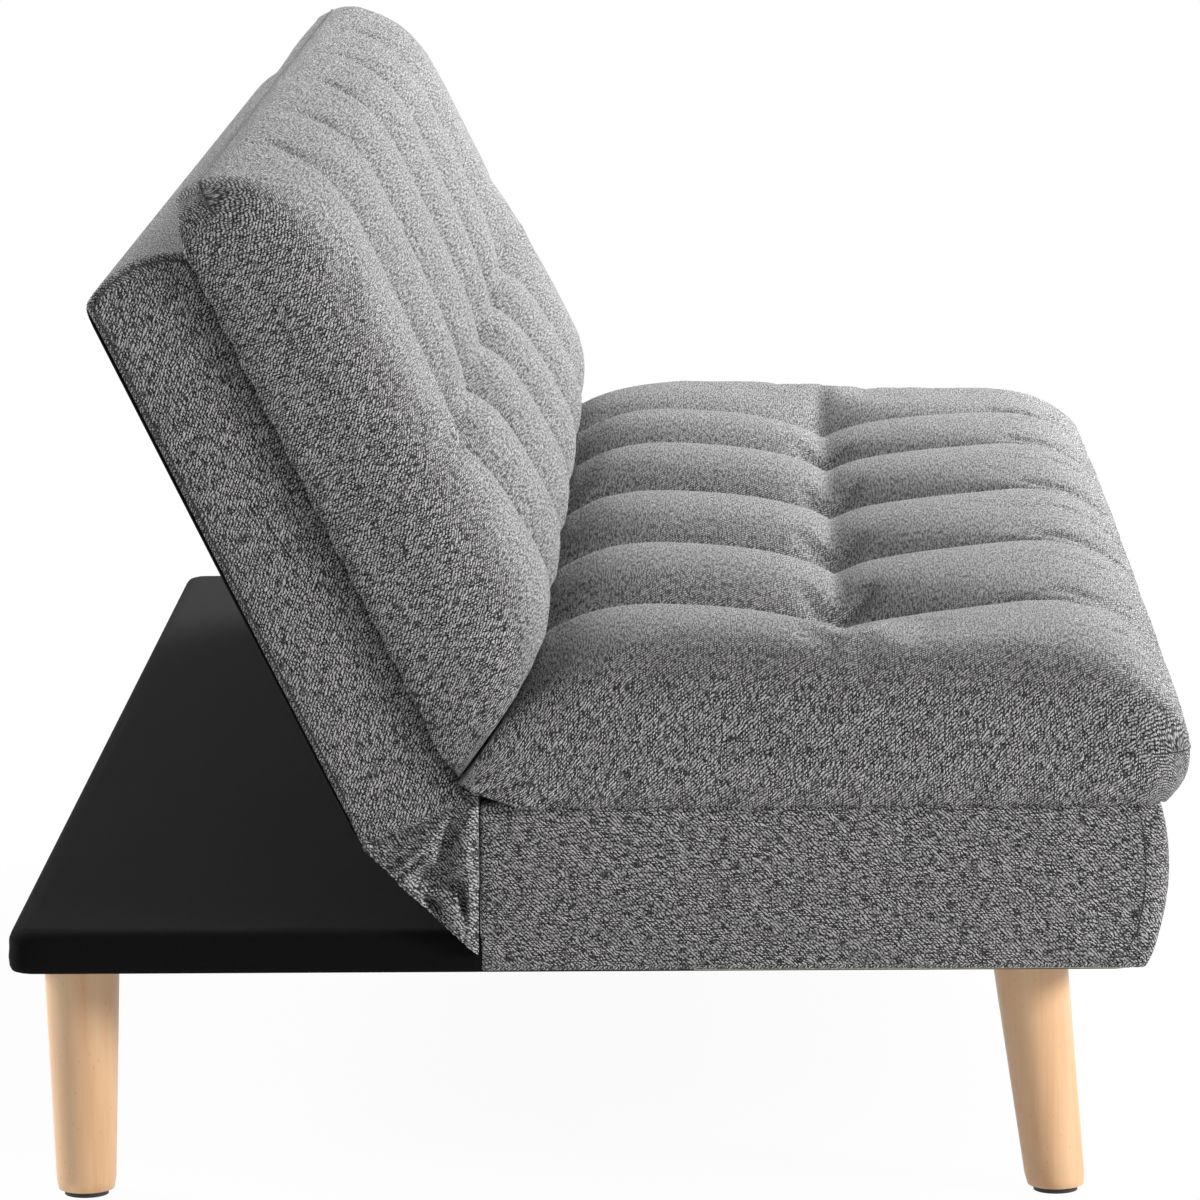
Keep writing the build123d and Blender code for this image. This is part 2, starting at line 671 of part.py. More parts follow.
for hand, side in hands:
    seat_plate_x = span(side, board_outer, board_outer + plate)
    layer_x = span(side, layer_inner, layer_outer)

    # Seat plate: an arm that carries the pivot behind the seat box
    with BuildPart() as hinge_seat_plate:
        with BuildSketch(hinge_plane(seat_plate_x[0])):
            Circle(seat_plate_eye)
            with Locations((-seat_plate_reach, -seat_plate_drop)):
                Circle(seat_plate_end_radius)
            with Locations((-seat_plate_elbow, -seat_plate_elbow_drop)):
                Circle(seat_plate_elbow_radius)
            make_hull()
            Circle(pin_radius + pin_fit, mode=Mode.SUBTRACT)
            with Locations(pawl_pivot):
                Circle(pawl_pin_radius + pin_fit, mode=Mode.SUBTRACT)
            with Locations(*plate_screw_places):
                RegularPolygon(screw_radius + fit, 8, mode=Mode.SUBTRACT)
        extrude(amount=plate)
        rod(
            span(side, board_outer + plate, layer_outer),
            pivot_y + spring_post[0],
            pivot_z + spring_post[1],
            spring_post_radius,
        )
    save(hinge_seat_plate, f"{hand}_hinge_seat_plate")

    # Back plate: an arm up the stile and a sector of ratchet teeth round the pivot
    with BuildPart() as hinge_back_plate:
        with BuildSketch(back_side_plane(layer_x[0])):
            Circle(tooth_root_radius - back_plate_neck)
            with Locations((back_plate_reach, back_plate_v)):
                Circle(back_plate_end_radius)
            make_hull()
            with Locations(*[(u, back_plate_v) for u in back_plate_screw_us]):
                RegularPolygon(screw_radius + fit, 8, mode=Mode.SUBTRACT)
        with BuildSketch(hinge_plane(layer_x[0])):
            Circle(tooth_root_radius)
            for i in range(tooth_count):
                tip = pawl_angle - release_swing + i * tooth_pitch
                with BuildLine():
                    Polyline(
                        (0, 0),
                        Vector(tooth_root_radius, 0).rotate(Axis.Z, tip + tooth_pitch),
                        Vector(tooth_tip_radius, 0).rotate(Axis.Z, tip),
                        Vector(tooth_root_radius, 0).rotate(Axis.Z, tip - 1),
                        close=True,
                    )
                make_face()
        extrude(amount=plate)
        rod(layer_x, pivot_y, pivot_z, pin_radius + pin_fit, Mode.SUBTRACT)
    save(hinge_back_plate, f"{hand}_hinge_back_plate")

    # Shouldered pivot pin with a head on each side
    with BuildPart() as hinge_pivot_pin:
        rod(span(side, board_outer - pin_head, layer_outer + ease), pivot_y, pivot_z, pin_radius)
        rod(span(side, board_outer - pin_head, board_outer), pivot_y, pivot_z, pin_head_radius)
        head_x = span(side, layer_outer + ease, layer_outer + ease + pin_head)
        rod(head_x, pivot_y, pivot_z, pin_head_radius)
    save(hinge_pivot_pin, f"{hand}_hinge_pivot_pin")

    # Pawl that stands just clear of the tooth tips
    with BuildPart() as pawl:
        with BuildSketch(hinge_plane(layer_x[0])):
            with Locations(pawl_pivot):
                Circle(pawl_boss_radius)
            with Locations((pawl_tip[0], pawl_tip[1] - pawl_nose_radius)):
                Circle(pawl_nose_radius)
            with Locations(pawl_tail):
                Circle(pawl_nose_radius)
            make_hull()
            Circle(tooth_tip_radius + ease, mode=Mode.SUBTRACT)
            with Locations(pawl_pivot):
                Circle(pawl_pin_radius + pin_fit, mode=Mode.SUBTRACT)
        extrude(amount=plate)
    save(pawl, f"{hand}_pawl")

    # Bent leaf spring from the post on the seat plate to the tail of the pawl
    leaf_a = spring_post[0] - spring_post_radius - spring_leaf / 2 - fit
    with BuildPart() as pawl_spring:
        with BuildSketch(hinge_plane(layer_x[0])):
            with BuildLine() as leaf:
                Polyline(
                    (leaf_a, spring_post[1] + spring_post_radius),
                    (leaf_a, pawl_tail[1] + pawl_nose_radius + spring_bend),
                    (pawl_tail[0], pawl_tail[1] + pawl_nose_radius + spring_bend / 2),
                    (pawl_tail[0], pawl_tail[1] + pawl_nose_radius + fit),
                )
            trace(leaf.line, spring_leaf)
        extrude(amount=plate)
    save(pawl_spring, f"{hand}_pawl_spring")

with BuildPart() as pawl_pins:
    for hand, side in hands:
        y = pivot_y + pawl_pivot[0]
        z = pivot_z + pawl_pivot[1]
        rod(span(side, board_outer, layer_outer + ease), y, z, pawl_pin_radius)
        rod(span(side, layer_outer + ease, layer_outer + ease + screw_head), y, z, pawl_pin_head_radius)
save(pawl_pins, "pawl_pins")

plate_shank = bar(screw_radius, plate)
with BuildPart() as hinge_seat_screws:
    for hand, side in hands:
        for a, b in plate_screw_places:
            y = pivot_y + a
            z = pivot_z + b
            place(plate_shank, span(side, board_outer, board_outer + plate), y, z)
            place(screw_cap, span(side, board_outer + plate, board_outer + plate + screw_head), y, z)
save(hinge_seat_screws, "hinge_seat_screws")

with BuildPart() as hinge_back_screws:
    for hand, side in hands:
        for u in back_plate_screw_us:
            y, z = back_point(u, back_plate_v)
            place(plate_shank, span(side, stile_outer, layer_outer), y, z)
            place(screw_cap, span(side, layer_outer, layer_outer + screw_head), y, z)
save(hinge_back_screws, "hinge_back_screws")

# Cloth gussets over the hinges: a pleated sheet cut to the triangle between seat, back and base
gusset_mid = box_half + gusset_stand_off
foot_front = back_point(back_foot_u - ease, back_front_v - gusset_hem)
foot_rear = back_point(back_foot_u + back_foot_slope - ease, back_rear_v + gusset_lift)
gusset_corners = [
    (seat_rear_y + ease, seat_top_z - gusset_hem),
    (seat_rear_y + ease, base_top_z + gusset_lift),
    foot_rear,
    foot_front,
]
hang = Vector(0, foot_rear[0] - seat_rear_y, foot_rear[1] - base_top_z).normalized()
for hand, side in hands:
    with BuildPart() as gusset:
        pleat_plane = Plane(
            origin=(side * gusset_mid, seat_rear_y, base_top_z),
            x_dir=hang,
            z_dir=Vector(1, 0, 0).cross(hang),
        )
        with BuildSketch(pleat_plane):
            with BuildLine() as pleats:
                for i in range(pleat_count):
                    start = (i - 1) * pleat_pitch
                    bulge = pleat_depth / 2 if i % 2 else -pleat_depth / 2
                    ThreePointArc((start, 0), (start + pleat_pitch / 2, bulge), (start + pleat_pitch, 0))
            trace(pleats.line, gusset_cloth)
        extrude(amount=pleat_length, both=True)
        with BuildSketch(side_plane(side * gusset_mid)):
            with BuildLine():
                Polyline(*gusset_corners, close=True)
            make_face()
        extrude(amount=pleat_pitch, both=True, mode=Mode.INTERSECT)
    save(gusset, f"{hand}_gusset")

# Cushions. Each cross-section is a base, a nose, two crowned rows that meet at the tufts and a hinge end
fold_run = 1 / tan(radians(fold_angle))


def fold_s(w):
    """Least distance up the cushion, at the height w, that stays clear of the other cushion."""
    return (w + pivot_drop) * fold_run + fold_gap


def cushion_section(plane, sizes, low, fullness, draw, pinch):
    """One cross-section: low lifts the base, fullness scales the crown, draw pulls in the free edge."""
    reach, tuft_s, hinge_row, free_row, hinge_crest, row_valley, tuft_depth, hinge_channel, free_channel = sizes
    hinge_top = (fold_s(hinge_crest * fullness), hinge_crest * fullness)
    hinge_low = (fold_s(low) + hinge_end_tuck, low)
    hinge_mid = ((hinge_top[0] + hinge_low[0]) / 2 - hinge_end_bow, (hinge_top[1] + hinge_low[1]) / 2)
    nose_low = (reach - draw - nose_round, low)
    nose_top = (reach - draw - nose_round, (nose_seam + nose_round + nose_rise) * fullness)
    nose_mid = (reach - draw, (nose_low[1] + nose_top[1]) / 2 + nose_lift * fullness)
    valley = min(hinge_row, free_row) - row_valley
    tuft = (tuft_s, (valley - pinch * tuft_depth) * fullness)
    hinge_bow = ((hinge_top[0] + tuft_s) / 2, (hinge_row - pinch * hinge_channel) * fullness)
    free_bow = ((tuft_s + nose_top[0]) / 2, (free_row - pinch * free_channel) * fullness)
    with BuildSketch(plane) as section:
        with BuildLine():
            Line(hinge_low, nose_low)
            ThreePointArc(nose_low, nose_mid, nose_top)
            ThreePointArc(nose_top, free_bow, tuft)
            ThreePointArc(tuft, hinge_bow, hinge_top)
            ThreePointArc(hinge_top, hinge_mid, hinge_low)
        make_face()
    return section.sketch.face()


# Along the width: drawn-in ends, full columns, and pinched stations at the tufts.
# Inset, low and draw of the ends are shares of the boxing seam's height.
end_shares = [(0, 0.58, 0.56, 0.32), (0.37, 0.13, 0.76, 0.1), (1.26, 0, 0.93, 0)]
end_stations = [(a * nose_seam, b * nose_seam, c, d * nose_seam) for a, b, c, d in end_shares]
stations = []
for inset, low, fullness, draw in end_stations:
    stations.append((-cushion_half + inset, low, fullness, draw, 0))
for tuft_x in tuft_xs:
    stations.append((tuft_x - tuft_pitch / 2, 0, 1, 0, 0))
    stations.append((tuft_x - tuft_shoulder, 0, 1, 0, 0.35))
    stations.append((tuft_x, 0, 1, 0, 1))
    stations.append((tuft_x + tuft_shoulder, 0, 1, 0, 0.35))
stations.append((tuft_xs[-1] + tuft_pitch / 2, 0, 1, 0, 0))
for inset, low, fullness, draw in reversed(end_stations):
    stations.append((cushion_half - inset, low, fullness, draw, 0))

seat_sizes = (
    cushion_front_s, seat_tuft_s, seat_rear_crest, seat_front_crest, seat_hinge_crest,
    seat_row_valley, seat_tuft_depth, seat_rear_channel, seat_front_channel,
)
seat_sections = []
for x, low, fullness, draw, pinch in stations:
    section_plane = Plane(origin=(x, pivot_y, seat_top_z), x_dir=(0, -1, 0), z_dir=(-1, 0, 0))
    seat_sections.append(cushion_section(section_plane, seat_sizes, low, fullness, draw, pinch))
with BuildPart() as seat_cushion:
    loft(seat_sections, ruled=True)
save(seat_cushion, "seat_cushion")

back_sizes = (
    back_cushion_reach, back_tuft_s, back_lower_crest, back_upper_crest, back_hinge_crest,
    back_row_valley, back_tuft_depth, back_lower_channel, back_upper_channel,
)
back_base_y, back_base_z = back_point(0, back_front_v)
back_sections = []
for x, low, fullness, draw, pinch in stations:
    section_plane = Plane(origin=(x, back_base_y, back_base_z), x_dir=up_back, z_dir=(1, 0, 0))
    back_sections.append(cushion_section(section_plane, back_sizes, low, fullness, draw, pinch))
with BuildPart() as back_cushion:
    loft(back_sections, ruled=True)
save(back_cushion, "back_cushion")
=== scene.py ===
import json
from math import cos, hypot, pi, radians, sin
from types import SimpleNamespace
import bmesh
import bpy
import numpy as np
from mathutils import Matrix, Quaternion, Vector


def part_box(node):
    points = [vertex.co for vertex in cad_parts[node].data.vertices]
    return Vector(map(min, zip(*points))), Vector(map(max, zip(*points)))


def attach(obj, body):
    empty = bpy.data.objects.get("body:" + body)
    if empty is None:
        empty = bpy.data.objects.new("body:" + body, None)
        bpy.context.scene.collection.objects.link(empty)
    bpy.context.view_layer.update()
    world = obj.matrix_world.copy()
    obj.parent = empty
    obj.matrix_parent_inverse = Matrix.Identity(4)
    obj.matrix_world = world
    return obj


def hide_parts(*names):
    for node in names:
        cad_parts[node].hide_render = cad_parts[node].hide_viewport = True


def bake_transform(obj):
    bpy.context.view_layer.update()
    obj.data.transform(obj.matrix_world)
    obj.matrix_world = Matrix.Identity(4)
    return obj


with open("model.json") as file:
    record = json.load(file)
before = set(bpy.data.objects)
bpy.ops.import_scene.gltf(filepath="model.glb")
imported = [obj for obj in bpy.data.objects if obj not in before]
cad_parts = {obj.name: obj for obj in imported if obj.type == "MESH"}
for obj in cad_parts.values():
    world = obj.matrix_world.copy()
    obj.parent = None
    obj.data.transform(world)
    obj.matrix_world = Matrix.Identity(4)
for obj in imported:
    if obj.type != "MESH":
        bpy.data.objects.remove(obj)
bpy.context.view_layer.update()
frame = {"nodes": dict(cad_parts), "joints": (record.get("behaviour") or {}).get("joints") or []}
nodes = frame["nodes"]

# Timber of the frame: pine rails and plywood boards, screwed and glued, raw and unfinished.
# All of it is covered by upholstery, so the timber shows only where the hinges leave a gap.


class Tap:
    """One socket of a material's tree, so that shader maths reads as plain expressions."""

    def __init__(self, tree, socket=None):
        self.tree = tree
        self.socket = socket

    def node(self, kind, settings=None, sockets=None, out=0):
        """Add a node, set it up, feed its sockets, and return one of its outputs."""
        made = self.tree.nodes.new(kind)
        for key, value in (settings or {}).items():
            if key == "stops":
                ramp = made.color_ramp
                while len(ramp.elements) < len(value):
                    ramp.elements.new(1)
                for element, (place, colour) in zip(ramp.elements, value):
                    element.position = place
                    element.color = (*colour, 1)
            else:
                setattr(made, key, value)
        for key, value in (sockets or {}).items():
            if isinstance(value, Tap):
                self.tree.links.new(value.socket, made.inputs[key])
            else:
                made.inputs[key].default_value = value
        return Tap(self.tree, made.outputs[out] if made.outputs else None)

    def beside(self, out):
        """Another output of the node that this socket belongs to."""
        return Tap(self.tree, self.socket.node.outputs[out])

    def math(self, operation, *values):
        return self.node("ShaderNodeMath", {"operation": operation}, dict(enumerate(values)))

    def __add__(self, other):
        return self.math("ADD", self, other)

    __radd__ = __add__

    def __sub__(self, other):
        return self.math("SUBTRACT", self, other)

    def __rsub__(self, other):
        return self.math("SUBTRACT", other, self)

    def __mul__(self, other):
        return self.math("MULTIPLY", self, other)

    __rmul__ = __mul__

    def __truediv__(self, other):
        return self.math("DIVIDE", self, other)

    def __mod__(self, other):
        return self.math("FLOORED_MODULO", self, other)

    def __lt__(self, other):
        return self.math("LESS_THAN", self, other)

    def floor(self):
        return self.math("FLOOR", self)

    def blend(self, a, b):
        """Colour from a, where this value is 0, to b, where it is 1."""
        return self.node("ShaderNodeMix", {"data_type": "RGBA"}, {0: self, 6: a, 7: b}, 2)

    def ramp(self, *stops):
        """Colour that changes with this value, given as (value, colour) stops."""
        return self.node("ShaderNodeValToRGB", {"stops": stops}, {0: self})

    def stretched(self, x=1, y=1, z=1):
        """Object coordinates, scaled along X, Y and Z."""
        place = self.node("ShaderNodeTexCoord", out="Object")
        return self.node("ShaderNodeMapping", None, {"Vector": place, "Scale": (x, y, z)})

    def noise(self, vector, scale, detail=2.0):
        return self.node("ShaderNodeTexNoise", None, {"Vector": vector, "Scale": scale, "Detail": detail})

    def bumped(self, height, strength, depth):
        """A normal from a height field; depth is its full height in metres."""
        sockets = {"Height": height, "Strength": strength, "Distance": depth}
        return self.node("ShaderNodeBump", None, sockets)

    def feed(self, **links):
        """Link values to the surface shader's sockets, and set plain numbers on them."""
        shader = self.tree.nodes["Principled BSDF"]
        for key, value in links.items():
            socket = shader.inputs[key.replace("_", " ")]
            if isinstance(value, Tap):
                self.tree.links.new(value.socket, socket)
            else:
                socket.default_value = value


def new_finish(name):
    """An empty material and the tap that its nodes are drawn from."""
    finish = bpy.data.materials.new(name)
    finish.use_nodes = True
    return finish, Tap(finish.node_tree)


def dress(finish, *names):
    """Give CAD nodes a finish in every material slot."""
    for name in names:
        mesh = nodes[name].data
        mesh.materials.clear()
        mesh.materials.append(finish)


def raw_timber(name, pale, dark, along, across):
    """Sawn wood with its grain along one axis; the scales are repeats in a metre."""
    finish, tap = new_finish(name)
    grain = tap.noise(tap.stretched(*along), across, 4)
    fibre = tap.noise(tap.stretched(*along), across * 5, 2)
    tone = grain * 0.75 + fibre * 0.25
    tap.feed(
        Base_Color=tone.ramp((0.3, dark), (0.7, pale)),
        Roughness=0.62 + fibre * 0.2,
        Normal=tap.bumped(fibre, 0.3, 0.0004),
    )
    return finish


pine_pale, pine_dark = (0.66, 0.47, 0.27), (0.44, 0.27, 0.13)
across_pine = raw_timber("pine_along_x", pine_pale, pine_dark, (0.06, 1, 1), 60)
upright_pine = raw_timber("pine_up_the_back", pine_pale, pine_dark, (1, 0.12, 0.06), 60)
plywood = raw_timber("birch_plywood", (0.70, 0.54, 0.35), (0.55, 0.38, 0.21), (1, 0.05, 0.4), 70)
hardboard = raw_timber("brown_hardboard", (0.27, 0.16, 0.085), (0.19, 0.105, 0.055), (1, 1, 1), 240)
dress(across_pine, "seat_front_rail", "seat_rear_rail", "base_rear_rail", "back_bottom_rail", "back_top_rail")
dress(across_pine, "front_leg_blocks", "rear_leg_blocks")
dress(upright_pine, "back_inner_stiles", "seat_cross_rails", "base_slats")
dress(plywood, "left_side_board", "right_side_board", "left_back_stile", "right_back_stile")
dress(hardboard, "base_deck_panel")

# Steelwork: pressed and zinc-plated ratchet hinges with their pins, pawls and leaf springs,
# and the screws, bolts and tee nuts that hold the frame and the legs.
zinc, tap = new_finish("zinc_plate")
spangle = tap.node("ShaderNodeTexVoronoi", None, {"Vector": tap.stretched(), "Scale": 260}, "Color")
smear = tap.noise(tap.stretched(), 45, 5)
plate_tone = smear.ramp((0.35, (0.46, 0.45, 0.43)), (0.65, (0.66, 0.67, 0.68)))
tap.feed(
    Base_Color=tap.node("ShaderNodeMix", {"data_type": "RGBA"}, {0: 0.12, 6: plate_tone, 7: spangle}, 2),
    Metallic=1.0,
    Roughness=0.3 + smear * 0.25,
    Normal=tap.bumped(smear, 0.15, 0.0003),
)
for hand in ("left", "right"):
    dress(zinc, f"{hand}_hinge_seat_plate", f"{hand}_hinge_back_plate", f"{hand}_hinge_pivot_pin")
    dress(zinc, f"{hand}_pawl", f"{hand}_pawl_spring")
dress(zinc, "pawl_pins", "hinge_seat_screws", "hinge_back_screws", "seat_frame_screws", "back_frame_screws")
dress(zinc, "leg_bolts", "leg_tee_nuts")

# Springing and padding inside the covers: woven elastic webbing stapled over the frames,
# and cut slabs of open-cell foam glued on the boards. None of it shows on the finished sofa.
webbing, tap = new_finish("elastic_webbing")
ribs = tap.node("ShaderNodeTexWave", {"bands_direction": "DIAGONAL"}, {"Vector": tap.stretched(), "Scale": 90})
tap.feed(
    Base_Color=ribs.blend((0.02, 0.02, 0.022, 1), (0.075, 0.075, 0.08, 1)),
    Roughness=0.75 + ribs * 0.15,
    Normal=tap.bumped(ribs, 0.5, 0.0006),
)
dress(webbing, "seat_webbing_long", "seat_webbing_cross", "back_webbing")

foam, tap = new_finish("open_cell_foam")
cells = tap.node("ShaderNodeTexVoronoi", None, {"Vector": tap.stretched(), "Scale": 700})
tap.feed(
    Base_Color=cells.blend((0.55, 0.50, 0.37, 1), (0.80, 0.76, 0.62, 1)),
    Roughness=0.85 + cells * 0.1,
    Normal=tap.bumped(cells, 0.6, 0.001),
)
dress(foam, "seat_foam_deck", "seat_side_pads", "seat_front_roll", "base_side_pads")
dress(foam, "back_foam_pad", "back_side_pads", "back_top_pad")

# Legs: solid beech turned to a taper, clear satin lacquer, bolted up into the frame.
# The front pair splays forwards; the rear pair stands upright behind the seat.
scene = bpy.context.scene
beech, tap = new_finish("lacquered_beech")
growth = tap.noise(tap.stretched(1, 1, 0.07), 60, 3)
pores = tap.noise(tap.stretched(1, 1, 0.03), 420, 2)
flecks = tap.node("ShaderNodeTexVoronoi", None, {"Vector": tap.stretched(1, 1, 0.22), "Scale": 330})
figure = (growth * 0.8 + pores * 0.2).ramp(
    (0.30, (0.84, 0.48, 0.25)), (0.47, (0.94, 0.575, 0.315)), (0.68, (0.97, 0.65, 0.39))
)
fleck_mask = (flecks < 0.09) * 0.45
tap.feed(
    Base_Color=fleck_mask.blend(figure, (0.42, 0.21, 0.10, 1)),
    Roughness=0.36 + pores * 0.16,
    Coat_Weight=0.15,
    Coat_Roughness=0.25,
    Normal=tap.bumped(pores, 0.12, 0.0003),
)


def placed(name, data):
    """A new object in the scene."""
    made = bpy.data.objects.new(name, data)
    scene.collection.objects.link(made)
    return made


def weld(name, grids, finish):
    """Join point grids into one welded mesh. Each grid is (points, cloth coordinates, seam marks where the cloth gets
    painted shade, held marks).
    """
    points, faces, cloth, seam_shade_marks, held = [], [], [], [], []
    count = 0
    for grid, uv, seam, *grip in grids:
        rows, columns = grid.shape[:2]
        number = np.arange(rows * columns).reshape(rows, columns) + count
        corner = (number[:-1, :-1], number[1:, :-1], number[1:, 1:], number[:-1, 1:])
        faces.append(np.stack(corner, axis=-1).reshape(-1, 4))
        points.append(grid.reshape(-1, 3))
        cloth.append(uv.reshape(-1, 2))
        seam_shade_marks.append(np.broadcast_to(seam, (rows, columns)).reshape(-1))
        held.append(np.broadcast_to(grip[0] if grip else 1.0, (rows, columns)).reshape(-1))
        count += rows * columns
    faces = np.concatenate(faces)
    cloth = np.concatenate(cloth)
    mesh = bpy.data.meshes.new(name)
    mesh.from_pydata(np.concatenate(points).tolist(), [], faces.tolist())
    layer = mesh.uv_layers.new(name="cloth")
    layer.data.foreach_set("uv", cloth[faces.reshape(-1)].astype(np.float32).reshape(-1))
    # The seam marks weight the painted shade that the cloth's colour gets along its seams.
    for label, values in (("seam", seam_shade_marks), ("held", held)):
        attribute = mesh.attributes.new(label, "FLOAT", "POINT")
        attribute.data.foreach_set("value", np.concatenate(values).astype(np.float32))
    shape = bmesh.new()
    shape.from_mesh(mesh)
    bmesh.ops.remove_doubles(shape, verts=shape.verts, dist=1e-5)
    bmesh.ops.dissolve_degenerate(shape, edges=shape.edges, dist=1e-6)
    bmesh.ops.recalc_face_normals(shape, faces=shape.faces)
    shape.to_mesh(mesh)
    shape.free()
    mesh.shade_smooth()
    mesh.materials.append(finish)
    return placed(name, mesh)


leg_round = 0.0025
leg_turns = 56
foot_share = 0.78
glide_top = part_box("leg_glides")[1][2]
for row in ("front", "rear"):
    for hand in ("left", "right"):
        name = f"{row}_{hand}_leg"
        low, high = (np.array(corner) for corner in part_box(name))
        top_radius = (high[0] - low[0]) / 2
        foot_radius = top_radius * foot_share
        top_y = high[1] - top_radius
        foot_y = low[1] + foot_radius if row == "front" else top_y
        heights = np.concatenate([np.linspace(0, leg_round, 5), np.linspace(leg_round, 1, 24)[1:]])
        heights = glide_top + (high[2] - glide_top) * heights
        share = (heights - glide_top) / (high[2] - glide_top)
        ease_in = np.clip((heights - glide_top) / leg_round, 0, 1)
        radius = foot_radius + (top_radius - foot_radius) * share
        radius = radius - leg_round * (1 - np.sqrt(1 - (1 - ease_in) ** 2))
        radius = np.concatenate([[0], radius, [0]])[:, None]
        heights = np.concatenate([heights[:1], heights, heights[-1:]])
        centre_y = np.concatenate([[foot_y], foot_y + (top_y - foot_y) * share, [top_y]])
        turn = np.linspace(0, 2 * pi, leg_turns + 1)
        x = (low[0] + high[0]) / 2 + radius * np.cos(turn)
        y = centre_y[:, None] + radius * np.sin(turn)
        z = np.broadcast_to(heights[:, None], x.shape)
        around = np.stack([np.broadcast_to(turn * top_radius, x.shape), z], axis=-1)
        leg = weld(f"{row}_{hand}_turned_leg", [(np.stack([x, y, z], axis=-1), around, 0.0)], beech)
        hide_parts(name)
        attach(leg, "seat_frame")

# Glides: moulded black plastic discs nailed under the legs, which keep them off the floor.
# Their shape is the solid's own, and only the fine moulded grain is added.
glide_plastic, tap = new_finish("glide_plastic")
grit = tap.noise(tap.stretched(), 900, 3)
tap.feed(
    Base_Color=grit.blend((0.012, 0.012, 0.013, 1), (0.035, 0.035, 0.036, 1)),
    Roughness=0.45 + grit * 0.25,
    Normal=tap.bumped(grit, 0.2, 0.0002),
)
dress(glide_plastic, "leg_glides")

# Base behind the seat: black polyester canvas pulled tight over the hardboard deck,
# folded in small tucks at the corners and stapled underneath.


def on_cloth(tap):
    """Places across and down a cloth, in metres, from the cloth coordinates of its piece."""
    across = tap.node("ShaderNodeSeparateXYZ", None, {0: tap.node("ShaderNodeUVMap", {"uv_map": "cloth"})})
    return across, across.beside("Y")


def yarn_relief(warp, weft, over):
    """Height of round yarns: of the warp where it lies over the weft, and elsewhere of the weft."""
    warp_side = 2 * (warp % 1) - 1
    weft_side = 2 * (weft % 1) - 1
    return 1 - over * warp_side * warp_side - (1 - over) * weft_side * weft_side


def canvas(name, dark, pale, pitch):
    """Plain-woven cloth whose yarns follow its own cloth coordinates; pitch is one yarn."""
    finish, tap = new_finish(name)
    across, down = on_cloth(tap)
    warp, weft = across / pitch, down / pitch
    over = (warp.floor() + weft.floor()) % 2
    relief = yarn_relief(warp, weft, over)
    wear = tap.noise(tap.stretched(), 9, 4)
    lint = tap.noise(tap.stretched(), 1100, 2)
    # Painted shade: the relief darkens the grooves between the yarns; wear and lint are the cloth's random tone.
    tone = relief * 0.5 + over * 0.2 + wear * 0.15 + lint * 0.15
    tap.feed(
        Base_Color=tone.blend((*dark, 1), (*pale, 1)),
        Roughness=0.85 + lint * 0.1,
        Normal=tap.bumped(relief, 0.5, 0.0004),
        Specular_IOR_Level=0.06,
    )
    return finish


def steps(keys, fine, coarse):
    """Places through all the keys, evenly spaced between them and crowded at both ends for rounded rims."""
    keys = [keys[0] + fine[-1], *keys[1:-1], keys[-1] - fine[-1]]
    inner = [keys[0]]
    for here, after in zip(keys, keys[1:]):
        inner.extend(np.linspace(here, after, max(2, round((after - here) / coarse) + 1))[1:])
    rims = np.array(fine[:-1])
    return np.concatenate([inner[0] - fine[-1] + rims, inner, inner[-1] + fine[-1] - rims[::-1]])


def panel(x_keys, s_keys, corner, fine, coarse):
    """Flat rectangle with rounded corners as a grid of x and s, and each place's distance to its edges."""
    half, start, end = x_keys[-1], s_keys[0], s_keys[-1]
    x, s = np.meshgrid(steps(x_keys, fine, coarse), steps(s_keys, fine, coarse), indexing="ij")
    to_end = half - np.abs(x)
    to_start = s - start
    to_nose = end - s
    for distance, sign, radius in ((to_start, 1, corner[0]), (to_nose, -1, corner[1])):
        p = np.clip((radius - to_end) / radius, 0, 1)
        q = np.clip((radius - distance) / radius, 0, 1)
        inside = (p > 0) & (q > 0)
        p_round = p * np.sqrt(1 - q * q / 2)
        q_round = q * np.sqrt(1 - p * p / 2)
        x = np.where(inside, np.sign(x) * (half - radius + radius * p_round), x)
        edge = start + radius - radius * q_round if sign > 0 else end - radius + radius * q_round
        s = np.where(inside, edge, s)
    return x, s, to_end, to_start, to_nose


def rim(grid):
    """The boundary of a grid, once round, with its first place repeated at the end."""
    return np.concatenate([grid[:-1, 0], grid[-1, :-1], grid[:0:-1, -1], grid[0, ::-1]])


def closed(line):
    """A line of places or values with its first one repeated at the end."""
    return np.concatenate([line, line[:1]])


def rim_ways(x, s):
    """Unit vectors that point out of a panel along its rim."""
    edge = np.stack([rim(x), rim(s)], axis=-1)
    ring = edge[:-1]
    way = np.roll(ring, -1, axis=0) - np.roll(ring, 1, axis=0)
    out = np.stack([way[:, 1], -way[:, 0]], axis=-1)
    out /= np.linalg.norm(out, axis=1)[:, None]
    return edge, closed(out)


def run_length(line):
    """Distance along a line of places, from its first."""
    return np.concatenate([[0], np.cumsum(np.linalg.norm(np.diff(line, axis=0), axis=1))])


black_canvas = canvas("black_canvas", (0.0032, 0.0030, 0.0031), (0.0115, 0.0108, 0.0110), 0.0011)
base_low, base_high = (np.array(corner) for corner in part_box("base_cover"))
cloth_fullness = 0.005  # the canvas stands this far behind the plain solid
base_high[1] += cloth_fullness
base_round = 0.008
deck_depth = 0.334
tuck_places = (0.32, 0.93)  # shares of the deck's depth
deck_half, deck_end = base_high[0] - base_round, base_high[1] - base_round
x, s, *_ = panel((-deck_half, deck_half), (base_low[1], deck_end), (0.001, 0.012), [0, 0.003, 0.008], 0.02)
deck_wave = 0.0006 * (1 + np.sin(x * 9 + 2 * np.sin(s * 14)) * np.sin(s * 21 + 1.3))
deck = np.stack([x, s, base_high[2] + deck_wave], axis=-1)
deck[:, [0, -1], 2] = base_high[2]
deck[[0, -1], :, 2] = base_high[2]
edge, out = rim_ways(x, s)
turn = np.linspace(0, pi / 2, 6)
